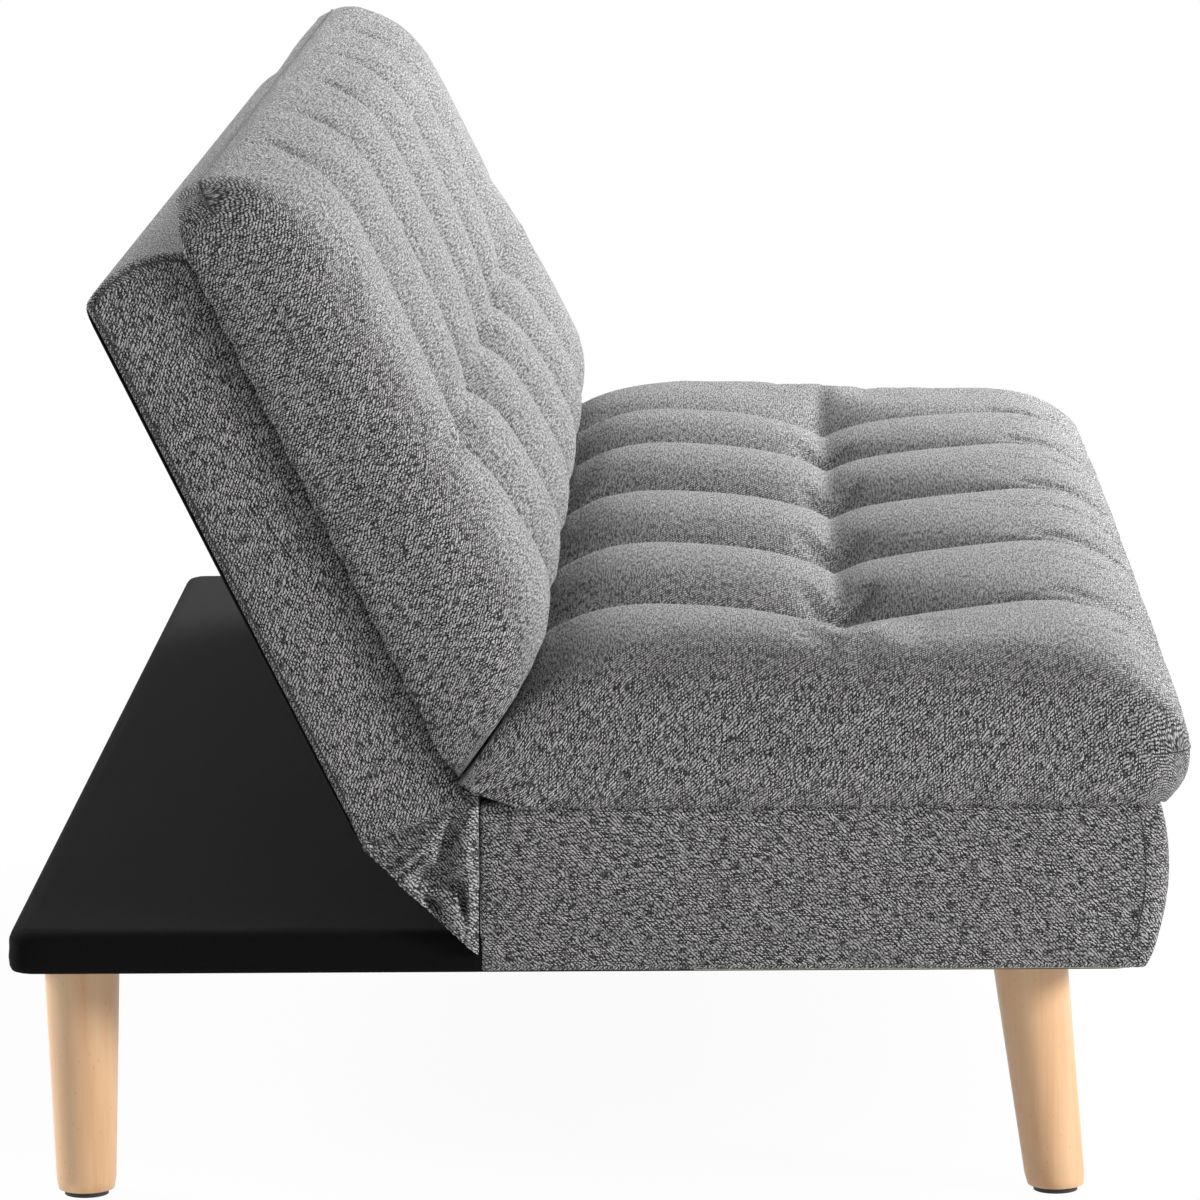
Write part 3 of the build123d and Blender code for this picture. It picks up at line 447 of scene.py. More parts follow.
hang = base_round + np.array([0, 0.0006, 0, -0.0015, -0.004, -0.02])
hang_fall = [0.014, 0.020, 0.0265, 0.0298, 0.0306, 0.0306]
reach = np.concatenate([base_round * np.sin(turn), hang])
fall = np.concatenate([base_round * (1 - np.cos(turn)), hang_fall])
skirt = edge[:, None, :] + out[:, None, :] * reach[None, :, None]
skirt = np.concatenate([skirt, np.broadcast_to(base_high[2] - fall, skirt.shape[:2])[..., None]], axis=-1)
along = run_length(edge)
closed_side = np.abs(out[:, 1] + 1) > 0.02
for place in tuck_places:
    for side in (-1, 1):
        gap = np.hypot(edge[:, 0] - side * base_high[0], edge[:, 1] - (base_low[1] + place * deck_depth))
        tuck = np.exp(-(gap / 0.0035) ** 2)[:, None] * np.clip(fall / 0.02, 0, 1)[None, :]
        skirt[..., 0] -= side * 0.003 * tuck
front_edge = np.where(~closed_side)[0]
keep = np.roll(np.arange(len(edge) - 1), -(front_edge.max() + 1) % (len(edge) - 1))
keep = [k for k in keep if closed_side[k]]
skirt_cloth = np.stack(np.broadcast_arrays(along[:, None], fall), axis=-1)
skirt_grid = (skirt[keep], skirt_cloth[keep], 0.0)
base_cloth = weld("base_canvas", [(deck, deck[..., :2], 0.0), skirt_grid], black_canvas)
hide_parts("base_cover")
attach(base_cloth, "seat_frame")

# Seat box: foam-padded frame under a sewn grey cover. The front panel is crowned and its ends
# wrap round the corners to a seam on each side panel.


def melange(name, dark, low, middle, pale, pitch):
    """Two-up two-down twill of dark and pale yarns that change in tone along their length."""
    finish, tap = new_finish(name)
    across, down = on_cloth(tap)
    warp, weft = across / pitch, down / pitch
    warp_number, weft_number = warp.floor(), weft.floor()
    breaks = tap.noise(tap.node("ShaderNodeUVMap", {"uv_map": "cloth"}), 130, 2)
    over = ((warp_number - weft_number + (breaks * 9).floor()) % 4) < 2
    relief = yarn_relief(warp, weft, over)
    warp_walk = tap.node("ShaderNodeCombineXYZ", None, {0: warp_number * 0.8, 1: down * 150})
    weft_walk = tap.node("ShaderNodeCombineXYZ", None, {0: across * 130, 1: weft_number * 0.8, 2: 8.0})
    warp_tone = tap.noise(warp_walk, 1.0, 3)
    weft_tone = tap.noise(weft_walk, 1.0, 3)
    slub = tap.noise(tap.stretched(), 30, 3)
    weft_colour = weft_tone.ramp((0.43, low), (0.54, pale))
    yarn = over.blend(weft_colour, warp_tone.ramp((0.49, dark), (0.61, middle)))
    # Painted shade: the relief darkens the grooves between the yarns; the slub term is the yarns' own uneven tone.
    shade = (0.58 + relief * 0.42) * (0.90 + slub * 0.2)
    # Painted shade: the cloth is darkened a little along the seam marks, standing in for the shade in the seam
    # grooves.
    seam = tap.node("ShaderNodeAttribute", {"attribute_name": "seam"}, out="Fac")
    lit = tap.node("ShaderNodeMix", {"data_type": "RGBA", "blend_type": "MULTIPLY"},
                   {0: 1.0, 6: yarn, 7: shade * (1 - 0.08 * seam)}, 2)
    tap.feed(
        Base_Color=lit,
        Roughness=0.82 + relief * 0.1,
        Normal=tap.bumped(relief, 0.55, 0.0006),
        Sheen_Weight=0.12,
        Specular_IOR_Level=0.25,
    )
    return finish


grey_melange = melange("grey_melange_twill", (0.0043, 0.0042, 0.0043), (0.073, 0.0717, 0.0722),
                       (0.194, 0.191, 0.193), (0.886, 0.873, 0.878), 0.00075)


def rounded_loop(corners, spacing):
    """Closed outline through (a, b, radius) corners in order, with round corners, sampled evenly enough."""
    places = []
    for i, (a, b, radius) in enumerate(corners):
        here = np.array([a, b])
        back = np.array(corners[i - 1][:2]) - here
        ahead = np.array(corners[(i + 1) % len(corners)][:2]) - here
        room = 0.45 * min(np.linalg.norm(back), np.linalg.norm(ahead))
        back = back / np.linalg.norm(back)
        ahead = ahead / np.linalg.norm(ahead)
        half_turn = 0.5 * np.arccos(np.clip(back @ ahead, -1, 1))
        cut = min(radius / np.tan(half_turn), room)
        for t in np.linspace(0, 1, 7):
            places.append((1 - t) ** 2 * (here + back * cut) + 2 * t * (1 - t) * here + t ** 2 * (here + ahead * cut))
    filled = []
    for i, place in enumerate(places):
        after = places[(i + 1) % len(places)]
        count = max(1, round(float(np.linalg.norm(after - place)) / spacing))
        filled.extend(place + (after - place) * k / count for k in range(count))
    return np.array(filled)


def walked(grid, axis, origin):
    """Distance walked over a surface along one axis of its grid, from the row or column nearest an origin."""
    stride = np.linalg.norm(np.diff(grid, axis=axis), axis=-1)
    pad = [(0, 0), (0, 0)]
    pad[axis] = (1, 0)
    total = np.cumsum(np.pad(stride, pad), axis=axis)
    return total - np.take(total, [origin], axis=axis)


def padded_box(name, solids, body, loop, end_round, place):
    """A loop run along X with rounded ends: end_round gives each loop point its own radius."""
    half = seat_half
    after = np.roll(loop, -1, axis=0)
    way = after - np.roll(loop, 1, axis=0)
    inward = np.stack([-way[:, 1], way[:, 0]], axis=-1)
    inward /= np.linalg.norm(inward, axis=1)[:, None]
    centre = loop.mean(axis=0)
    if ((centre - loop) * inward).sum() < 0:
        inward = -inward
    rows = []
    for angle in np.linspace(0, pi / 2, 6):
        drawn = loop + inward * (end_round * (1 - np.cos(angle)))[:, None]
        rows.append((half - end_round * (1 - np.sin(angle)), drawn))
    stations = np.linspace(-half + 0.02, half - 0.02, 42)
    stack = [(-x, ring) for x, ring in rows[::-1]]
    stack += [(np.full(len(loop), x), loop) for x in stations]
    stack += rows
    girth = run_length(closed(loop))
    grid = []
    for x, ring in stack:
        grid.append(place(closed(x), *closed(ring).T))
    grid = np.array(grid)
    length = walked(grid, 0, len(stack) // 2)
    grids = [(grid, np.stack(np.broadcast_arrays(length, girth), axis=-1), 0.0)]
    shares = np.concatenate([[1, 0.985, 0.96], np.linspace(0.92, 0.0, 14)])
    for side in (-1, 1):
        x, ring = rows[-1]
        cap, cap_cloth = [], []
        for share in shares:
            swell = end_puff * (1 - share ** 4)
            flat = closed(centre + (ring - centre) * share)
            depth = closed(x) * share + half * (1 - share) + swell
            cap.append(place(side * depth, *flat.T))
            cap_cloth.append(flat)
        grids.append((np.array(cap), np.array(cap_cloth), 0.0))
    box = weld(name, grids, grey_melange)
    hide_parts(*solids)
    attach(box, body)


def arc(first, middle, last, count):
    """Places on the circle through three points, from the first to the last."""
    (ax, ay), (bx, by), (cx, cy) = first, middle, last
    d = 2 * (ax * (by - cy) + bx * (cy - ay) + cx * (ay - by))
    a, b, c = ax ** 2 + ay ** 2, bx ** 2 + by ** 2, cx ** 2 + cy ** 2
    ux = (a * (by - cy) + b * (cy - ay) + c * (ay - by)) / d
    uy = (a * (cx - bx) + b * (ax - cx) + c * (bx - ax)) / d
    radius = hypot(ax - ux, ay - uy)
    start = np.arctan2(ay - uy, ax - ux)
    sweep = (np.arctan2(cy - uy, cx - ux) - start + pi) % (2 * pi) - pi
    angle = start + sweep * np.linspace(0, 1, count)
    return np.stack([ux + radius * np.cos(angle), uy + radius * np.sin(angle)], axis=-1)


def thread_tree():
    """Geometry nodes that lay short threads along lines, each turned to the line's thread_way."""
    tree = bpy.data.node_groups.new("threads_along_lines", "GeometryNodeTree")
    sockets = {}
    for label, kind in (("Line", "Geometry"), ("Spacing", "Float"), ("Length", "Float"),
                        ("Thickness", "Float"), ("Finish", "Material")):
        made = tree.interface.new_socket(label, in_out="INPUT", socket_type=f"NodeSocket{kind}")
        sockets[label] = made.identifier
    tree.interface.new_socket("Threads", in_out="OUTPUT", socket_type="NodeSocketGeometry")
    tap = Tap(tree)
    line = tap.node("NodeGroupInput", out="Line")
    curve = tap.node("GeometryNodeMeshToCurve", None, {"Mesh": line})
    gaps = {"Curve": curve, "Length": line.beside("Spacing")}
    run = tap.node("GeometryNodeResampleCurve", {"mode": "LENGTH"}, gaps)
    way = tap.node("GeometryNodeInputNamedAttribute", {"data_type": "FLOAT_VECTOR"}, {"Name": "thread_way"})
    turn = tap.node("FunctionNodeAlignRotationToVector", {"axis": "Z"}, {"Vector": way})
    sizes = {"Vertices": 6, "Radius": line.beside("Thickness"), "Depth": line.beside("Length")}
    thread = tap.node("GeometryNodeMeshCylinder", None, sizes, "Mesh")
    many = tap.node("GeometryNodeInstanceOnPoints", None, {"Points": run, "Instance": thread, "Rotation": turn})
    real = tap.node("GeometryNodeRealizeInstances", None, {"Geometry": many})
    done = tap.node("GeometryNodeSetMaterial", None, {"Geometry": real, "Material": line.beside("Finish")})
    tap.node("NodeGroupOutput", None, {"Threads": done})
    return tree, sockets


threads, thread_sockets = thread_tree()


def sewn(name, lines, spacing, length, thickness, body, finish=None):
    """Threads or staples along lines of places, made a plain mesh."""
    # The default thread is near black and also stands in for the shadow along the seams.
    finish = finish or seam_shadow_thread
    places, ways, edges = [], [], []
    for line in lines:
        edges.extend((len(places) + i, len(places) + i + 1) for i in range(len(line) - 1))
        places.extend(line.tolist())
        ways.extend(np.gradient(line, axis=0).tolist())
    path = bpy.data.meshes.new(name)
    path.from_pydata(places, edges, [])
    turns = path.attributes.new("thread_way", "FLOAT_VECTOR", "POINT")
    turns.data.foreach_set("vector", np.array(ways, np.float32).ravel())
    guide = placed(name + "_guide", path)
    modifier = guide.modifiers.new("threads", "NODES")
    modifier.node_group = threads
    for label, value in (("Spacing", spacing), ("Length", length), ("Thickness", thickness), ("Finish", finish)):
        modifier[thread_sockets[label]] = value
    depsgraph = bpy.context.evaluated_depsgraph_get()
    mesh = bpy.data.meshes.new_from_object(guide.evaluated_get(depsgraph), depsgraph=depsgraph)
    bpy.data.objects.remove(guide)
    mesh.shade_smooth()
    made = placed(name, mesh)
    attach(made, body)


# Painted shadow: the thread is real stitching, but it is made near black so that it also stands in for the shadow in
# the seam grooves and tufts.
seam_shadow_thread, tap = new_finish("seam_shadow_thread")
twist = tap.node("ShaderNodeTexWave", {"bands_direction": "DIAGONAL"}, {"Vector": tap.stretched(), "Scale": 400})
tap.feed(
    Base_Color=twist.blend((0.012, 0.012, 0.012, 1), (0.05, 0.049, 0.05, 1)),
    Roughness=0.6 + twist * 0.15,
    Normal=tap.bumped(twist, 0.4, 0.0002),
)

seat_low, seat_high = (np.array(corner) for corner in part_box("seat_cover"))
seat_half = seat_high[0]
under_turn = 0.0016
front_line = arc(
    (seat_low[1] + 0.007, seat_high[2]), (seat_low[1], seat_low[2] + 0.082), (seat_low[1] + 0.017, seat_low[2]), 9
)
seat_corners = [(seat_high[1], seat_high[2], 0.004), (*front_line[0], 0.007)]
seat_corners += [(a, b, 0.05) for a, b in front_line[1:-1]]
seat_under = seat_low[2] + under_turn
seat_corners += [(front_line[-1][0], seat_under, 0.005), (seat_high[1], seat_under, 0.003)]
seat_loop = rounded_loop(seat_corners, 0.008)
sewn_edge = 0.0035  # least rounding of a cover at its sewn edges
end_puff = 0.0022  # swelling of a side panel in its middle
easing = 0.02  # length over which the rounding changes
front_start, front_margin, front_round = -0.37, 0.012, 0.008
front_share = np.clip((front_start - seat_loop[:, 0]) / easing, 0, 1)
front_share *= np.clip((seat_loop[:, 1] - seat_low[2] - front_margin) / easing, 0, 1)
front_share *= np.clip((seat_high[2] - front_margin - seat_loop[:, 1]) / easing, 0, 1)
seat_end_round = sewn_edge + front_round * front_share
padded_box("seat_box_cover", ["seat_cover"], "seat_frame", seat_loop, seat_end_round,
           lambda x, a, b: np.stack([x, a, b], axis=-1))

front_wrap = 0.017
seam_lines = []
for side in (-1, 1):
    drop = np.linspace(0.006, 0.117, 40)
    front = np.interp(seat_high[2] - drop, front_line[::-1, 1], front_line[::-1, 0])
    wrap = front + front_wrap + 0.012 * np.clip((drop - 0.095) / 0.022, 0, 1) ** 2
    seam_lines.append(np.stack([np.full(40, side * (seat_half + 0.0004)), wrap, seat_high[2] - drop], axis=-1))
sewn("seat_box_seams", seam_lines, 0.0036, 0.0030, 0.00045, "seat_frame")

# Back box: the same padded cover round the back's frame and its side pads, with a crowned top.
# It leans on the hinges; u runs up it from the pivot and v out of its front face.
lean = radians(26.0)
pivot = np.array(frame["joints"][0]["pos_m"])
up_back = np.array([0, sin(lean), cos(lean)])
out_back = np.array([0, -cos(lean), sin(lean)])


def on_back(x, u, v):
    """Places of the back at rest, in the shared frame."""
    x, u, v = np.broadcast_arrays(x, u, v)
    across = np.stack([x, np.zeros_like(x), np.zeros_like(x)], axis=-1)
    return across + pivot * (0, 1, 1) + u[..., None] * up_back + v[..., None] * out_back


back_front, back_rear = 0.025, -0.0582
back_middle = -0.0166
shoulder_u, crown_u = 0.455, 0.468
crown = arc((shoulder_u, back_front), (crown_u, (back_front + back_rear) / 2), (shoulder_u, back_rear), 9)
back_corners = [(0.016, back_front, 0.004), (*crown[0], 0.007)]
back_corners += [(a, b, 0.05) for a, b in crown[1:-1]]
back_corners += [(*crown[-1], 0.006), (0.022, back_rear, 0.004)]
back_loop = rounded_loop(back_corners, 0.008)
top_start, top_half, top_round, front_edge_round = 0.45, 0.034, 0.007, 0.009
top_share = np.clip((back_loop[:, 0] - top_start) / 0.006, 0, 1)
top_share *= np.clip((top_half - np.abs(back_loop[:, 1] - back_middle)) / easing, 0, 1)
soft_edge = np.clip((back_loop[:, 1] - back_front + 0.003) / 0.003, 0, 1)
soft_edge *= np.clip((top_start - back_loop[:, 0]) / easing, 0, 1)
back_end_round = sewn_edge + top_round * top_share + front_edge_round * soft_edge
back_solids = ["back_cover", "back_side_pads"]
padded_box("back_box_cover", back_solids, "back_frame", back_loop, back_end_round, on_back)

crown_wrap = 0.0045
seam_lines = []
for side in (-1, 1):
    inset = np.stack([np.ones(len(crown)), np.linspace(1, -1, len(crown))], axis=-1)
    fold = crown - crown_wrap * inset
    down_rear = np.stack([np.linspace(0.445, 0.06, 40), np.full(40, back_rear + crown_wrap)], axis=-1)
    path = np.concatenate([fold, down_rear])
    seam_lines.append(on_back(np.full(len(path), side * (seat_half + 0.0008)), path[:, 0], path[:, 1]))
sewn("back_box_seams", seam_lines, 0.0036, 0.0032, 0.00075, "back_frame")

# Seat cushion: a fibre and foam filled pillow with a boxing strip round its edge, sewn down
# to the seat box and drawn in at five tufts, which leave six columns of two pillows each.
tuft_xs = (-0.56, -0.28, 0.0, 0.28, 0.56)
column_middles = (-0.70, -0.42, -0.14, 0.14, 0.42, 0.70)
column = 0.14
boxing = 0.036
cushion_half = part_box("seat_cushion")[1][0] - 0.001
fold_gap, slit_ease = 0.0013, 0.012
corner_round, corner_start = 0.072, 0.0607
hinge_corner, nose_corner, end_edge = 0.003, 0.032, 0.014
rim_steps = [0, 0.0012, 0.004, 0.0085, 0.0145, 0.022, 0.030]
crease = 0.006  # width of the folds that run out of a tuft


def rise(distance, radius):
    """Quarter-round from 0 at a seam to 1 at the distance radius from it."""
    return np.sqrt(1 - (1 - np.clip(distance / radius, 0, 1)) ** 2)


def near(offset, width):
    """1 at a place, falling away round it like a bell."""
    return np.exp(-((offset / width) ** 2))


def fall_off(distance, width, soft=0.003):
    """1 at a crease, falling away evenly from it, with the crease itself a little soft."""
    return np.exp(-(np.sqrt(distance ** 2 + soft ** 2) - soft) / width)


def wrapped(grid, axis, flat_part):
    """Cloth coordinate along one axis: the plain place in a panel's flat part, and the walk over its edges."""
    flat = grid[..., axis]
    line = np.take(flat, flat.shape[1 - axis] // 2, axis=1 - axis)
    first, last = (int(np.argmin(np.abs(line - place))) for place in (flat_part[0], flat_part[-1]))
    before = np.take(flat, [first], axis=axis) + walked(grid, axis, first)
    after = np.take(flat, [last], axis=axis) + walked(grid, axis, last)
    number = np.arange(len(line)).reshape((-1, 1) if axis == 0 else (1, -1))
    return np.where(number < first, before, np.where(number > last, after, flat))


def pillow(name, form, place):
    """Tufted cushion on its base; s runs from the hinge to the nose and w out of the base."""
    def fold_at(w):
        """Where the cushion's hinge face stands at a height: it touches the other cushion below the slit."""
        slit = np.clip((w - form.slit_end) / slit_ease, 0, 1)
        return form.fold_start + form.fold_slope * w + fold_gap * slit

    start = float(fold_at(boxing))
    reach, tuft_s = form.reach, form.tuft_s
    x_keys, s_keys = (-cushion_half, *tuft_xs, cushion_half), (start, tuft_s, reach)
    x, s, to_end, to_start, to_nose = panel(x_keys, s_keys, (hinge_corner, nose_corner), rim_steps, 0.007)
    to_rim = np.min([to_end, to_start, to_nose], axis=0)
    column_gap = np.min([np.abs(x - tuft_x) for tuft_x in tuft_xs], axis=0)
    row_gap = s - tuft_s
    half_way = np.clip(row_gap / (reach - tuft_s), 0, 1)
    crest = np.interp(x, column_middles, form.fullness)
    crest = crest + form.nose_slope * (0.5 + 0.5 * np.tanh(row_gap / 0.08))
    by_tuft = fall_off(row_gap, np.where(row_gap < 0, form.tuft_length[0], form.tuft_length[1]))
    fade = np.exp(-half_way / form.valley_fade)
    valley = form.nose_valley + (form.hinge_valley - form.nose_valley) * fade
    open_column = np.clip(1 - column_gap / column, 0, 1)
    funnel = form.ridge_dip + (form.tuft_depth - form.ridge_dip) * open_column ** 2
    end_funnel = form.tuft_depth * np.clip(1 - column_gap / 0.2, 0, 1) ** 1.15
    funnel = np.where(np.abs(x) < tuft_xs[-1], funnel, end_funnel)
    height = crest - valley * open_column ** 2.5 * (1 - by_tuft) - funnel * by_tuft
    fold = np.exp(-np.abs(row_gap) / crease) * near(column_gap, form.fold_length)
    fold = np.maximum(fold, np.exp(-column_gap / crease) * near(row_gap, form.fold_length))
    height -= form.fold_depth * fold
    end_lift = 0.44 * rise(to_end, end_edge) + 0.56 * rise(to_end, column)
    lift = end_lift * rise(to_nose, form.nose) * rise(to_start, form.hinge_round)
    seam_w = boxing + (form.nose_seam - boxing) * np.clip(1 - to_nose / 0.07, 0, 1)
    w = seam_w + (height - seam_w) * lift
    s = np.maximum(s, fold_at(w))
    top = np.stack([x, s, w], axis=-1)
    flat_s = (start + 0.05, reach - 0.07)
    top_cloth = np.stack([wrapped(top, 0, column_middles), wrapped(top, 1, flat_s)], axis=-1)
    edge, out = rim_ways(x, s)
    along = run_length(edge)
    edge_seam = rim(seam_w)[:, None]
    share = np.array([0, 0.035, 0.09, 0.2, 0.35, 0.5, 0.65, 0.8, 0.9, 0.96, 1.0])
    nose_side = np.clip(out[:, 1:], 0, 1)
    to_corner = np.hypot(cushion_half - np.abs(edge[:, :1]), edge[:, 1:] - start)
    by_end = np.clip(1 - (cushion_half - np.abs(edge[:, :1])) / 0.05, 0, 1)
    by_hinge = np.clip(1 - (edge[:, 1:] - start) / 0.06, 0, 1)
    waver = form.lows * (0.5 + 0.5 * np.sin(along * 7.0 + 0.8) * np.sin(along * 3.1))[:, None]
    scallop = np.sin(along * 196 + 1.5 * np.sin(along * 23))[:, None]
    level = (1 - by_end) * waver + by_end * (0.0009 * scallop - 0.002)
    low = level
    for _ in range(4):
        foot = edge[:, 1:] - by_hinge * (edge_seam - low) * form.fold_slope
        low = level + corner_round - np.sqrt(corner_round ** 2 - np.clip(corner_start - foot, 0, 0.06) ** 2)
    strip_w = edge_seam - (edge_seam - low) * share
    roll = share ** form.roll_power
    roll_in = form.rim_roll + (0.005 - form.rim_roll) * near(to_corner, 0.06)
    strip_x = edge[:, :1] - np.sign(edge[:, :1]) * by_end * (roll_in * roll + 0.001 * scallop * share)
    strip_s = edge[:, 1:] - nose_side * form.nose_tuck * roll
    strip_s = strip_s - by_hinge * (edge_seam - strip_w) * form.fold_slope
    strip = np.stack([strip_x, strip_s, strip_w], axis=-1)
    top_edge = np.stack([rim(top_cloth[..., 0]), rim(top_cloth[..., 1])], axis=-1)
    strip_cloth = top_edge[:, None, :] + out[:, None, :] * walked(strip, 1, 0)[..., None]
    base = np.stack([x * 0.96, start + (s - start) * 0.92, np.zeros_like(x)], axis=-1)
    ring = strip[:-1, -1]
    count = 0
    for line in ((slice(0, -1), 0), (-1, slice(0, -1)), (slice(None, 0, -1), -1), (0, slice(None, 0, -1))):
        size = base[line].shape[0]
        base[line] = ring[count:count + size]
        count += size
    to_tuft = np.hypot(column_gap, row_gap)
    held = 0.12 + 0.88 * np.maximum(near(to_tuft, 0.010), near(to_rim, 0.006))
    held = np.maximum(held, np.clip(1 - (s - fold_at(w)) / 0.01, 0, 1))
    # The third item of each grid marks the seam lines, where the cloth is darkened as painted shade.
    grids = [
        (place(x, s, w), top_cloth, near(to_rim, 0.0008), held),
        (place(strip_x, strip_s, strip_w), strip_cloth, near(share, 0.012)[None, :]),
        (place(base[..., 0], base[..., 1], base[..., 2]), np.stack([x, s], axis=-1), 0.0),
    ]
    nose_rim = out[:, 1] > 0.15
    seam = [place(*(edge + out * 0.0003)[nose_rim].T, rim(seam_w)[nose_rim])]
    tuft_w = form.fullness[2] + form.nose_slope / 2 - form.tuft_depth - form.fold_depth
    bar = np.linspace(-0.006, 0.006, 5)
    tufts = [place(tuft_x + bar, tuft_s + 0 * bar, tuft_w + 0.001 + 0 * bar) for tuft_x in tuft_xs]
    return weld(name, grids, grey_melange), seam, tufts


def settled(piece, pressure=4.0, growth=0.012, cap=0.010, frames=20):
    """Let a sewn cover settle over its filling, gripped where it is held and moved no more than the cap."""
    mesh = piece.data
    count = len(mesh.vertices)
    before, after, grip = np.empty(count * 3), np.empty(count * 3), np.empty(count)
    mesh.vertices.foreach_get("co", before)
    mesh.attributes["held"].data.foreach_get("value", grip)
    group = piece.vertex_groups.new(name="held")
    for number, weight in enumerate(grip):
        group.add([number], float(weight), "REPLACE")
    cloth = piece.modifiers.new("cover", "CLOTH")
    cloth.settings.vertex_group_mass = "held"
    cloth.settings.use_pressure = True
    cloth.settings.uniform_pressure_force = pressure
    cloth.settings.shrink_min = -growth
    cloth.settings.quality = 4
    cloth.settings.effector_weights.gravity = 0
    cloth.point_cache.frame_start, cloth.point_cache.frame_end = 1, frames
    for step in range(1, frames + 1):
        scene.frame_set(step)
    depsgraph = bpy.context.evaluated_depsgraph_get()
    piece.evaluated_get(depsgraph).data.vertices.foreach_get("co", after)
    scene.frame_set(1)
    piece.modifiers.remove(cloth)
    piece.vertex_groups.remove(group)
    move = (after - before).reshape(-1, 3)
    far = np.linalg.norm(move, axis=1)
    move *= np.minimum(1, cap / np.maximum(far, 1e-9))[:, None]
    mesh.vertices.foreach_set("co", before + move.ravel())
    mesh.update()


def sewn_cushion(name, solid, form, place, body, seam_thickness):
    """Make a cushion, let it settle, and sew the seam along its nose and its tufts."""
    piece, seam, tufts = pillow(name, form, place)
    settled(piece)
    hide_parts(solid)
    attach(piece, body)
    sewn(name + "_seam", seam, 0.0036, 0.0033, seam_thickness, body)
    sewn(name + "_tufts", tufts, 0.0030, 0.0028, 0.0005, body)


def on_seat(x, s, w):
    """Places of the seat cushion: s runs forwards from the pivot, w up from the seat box."""
    x, s, w = np.broadcast_arrays(x, s, w)
    return np.stack([x, pivot[1] - s, seat_high[2] + w], axis=-1)


seat_form = SimpleNamespace(
    reach=0.527, nose=0.085, nose_seam=0.036, lows=0.010, tuft_s=0.281,
    fullness=(0.115, 0.119, 0.119, 0.121, 0.114, 0.096), nose_slope=-0.009,
    hinge_valley=0.040, nose_valley=0.006, valley_fade=0.25,
    tuft_depth=0.044, ridge_dip=0.022, tuft_length=(0.050, 0.046),
    fold_depth=0.006, fold_length=0.045, nose_tuck=0.013, rim_roll=0.011, roll_power=3.0,
    hinge_round=0.13, fold_start=-0.006, fold_slope=0.718, slit_end=0.0273,
)
sewn_cushion("seat_pillow", "seat_cushion", seat_form, on_seat, "seat_frame", 0.0005)

# Back cushion: made as the seat cushion is, of the same cloth and filling, with its tufts lower
# down, and sewn to the front of the back box.
back_form = SimpleNamespace(
    reach=0.497, nose=0.085, nose_seam=0.027, lows=0.008, tuft_s=0.240,
    fullness=(0.107, 0.108, 0.108, 0.107, 0.105, 0.100), nose_slope=-0.010,
    hinge_valley=0.030, nose_valley=0.024, valley_fade=0.5,
    tuft_depth=0.048, ridge_dip=0.015, tuft_length=(0.018, 0.045),
    fold_depth=0.008, fold_length=0.045, nose_tuck=0.036, rim_roll=0.004, roll_power=8.0,
    hinge_round=0.08, fold_start=0.0357, fold_slope=0.537, slit_end=0.0101,
)
sewn_cushion("back_pillow", "back_cushion", back_form,
             lambda x, s, w: on_back(x, s, back_front + w), "back_frame", 0.0007)

# Hinge gussets: a triangle of the same cloth at each end, sewn to the back box, the back of the
# seat box and nothing else, so it bags and folds; its free lower edge is overlocked and gathered.
gusset_rear = np.array([0.1690, 0.2700])
gusset_top = np.array([0.0858, 0.3045])
gusset_foot = np.array([0.0872, 0.1905])
gusset_folds = (  # hollows, and the bags between them: depth, middle, size and tilt
    (0.016, (0.0610, -0.002), (0.0060, 0.016), 12),
    (0.016, (0.0535, 0.024), (0.0145, 0.0085), 20),
    (0.014, (0.0705, 0.038), (0.0025, 0.012), -8),
    (0.010, (0.0490, 0.040), (0.010, 0.003), 40),
    (-0.006, (0.0735, 0.005), (0.009, 0.0095), 0),
    (-0.006, (0.0625, 0.046), (0.007, 0.014), -20),
    (-0.006, (0.0400, 0.003), (0.019, 0.010), -35),
    (-0.006, (0.0330, 0.030), (0.013, 0.006), 40),
)


def dent(a, b, middle, size, tilt):
    """A smooth round hollow in a cloth laid out flat: a runs forwards and b down, tilted by degrees."""
    da, db = a - middle[0], b - middle[1]
    tilt = radians(tilt)
    along = da * cos(tilt) + db * sin(tilt)
    across = db * cos(tilt) - da * sin(tilt)
    return np.exp(-((along / size[0]) ** 2 + (across / size[1]) ** 2) ** 1.4)


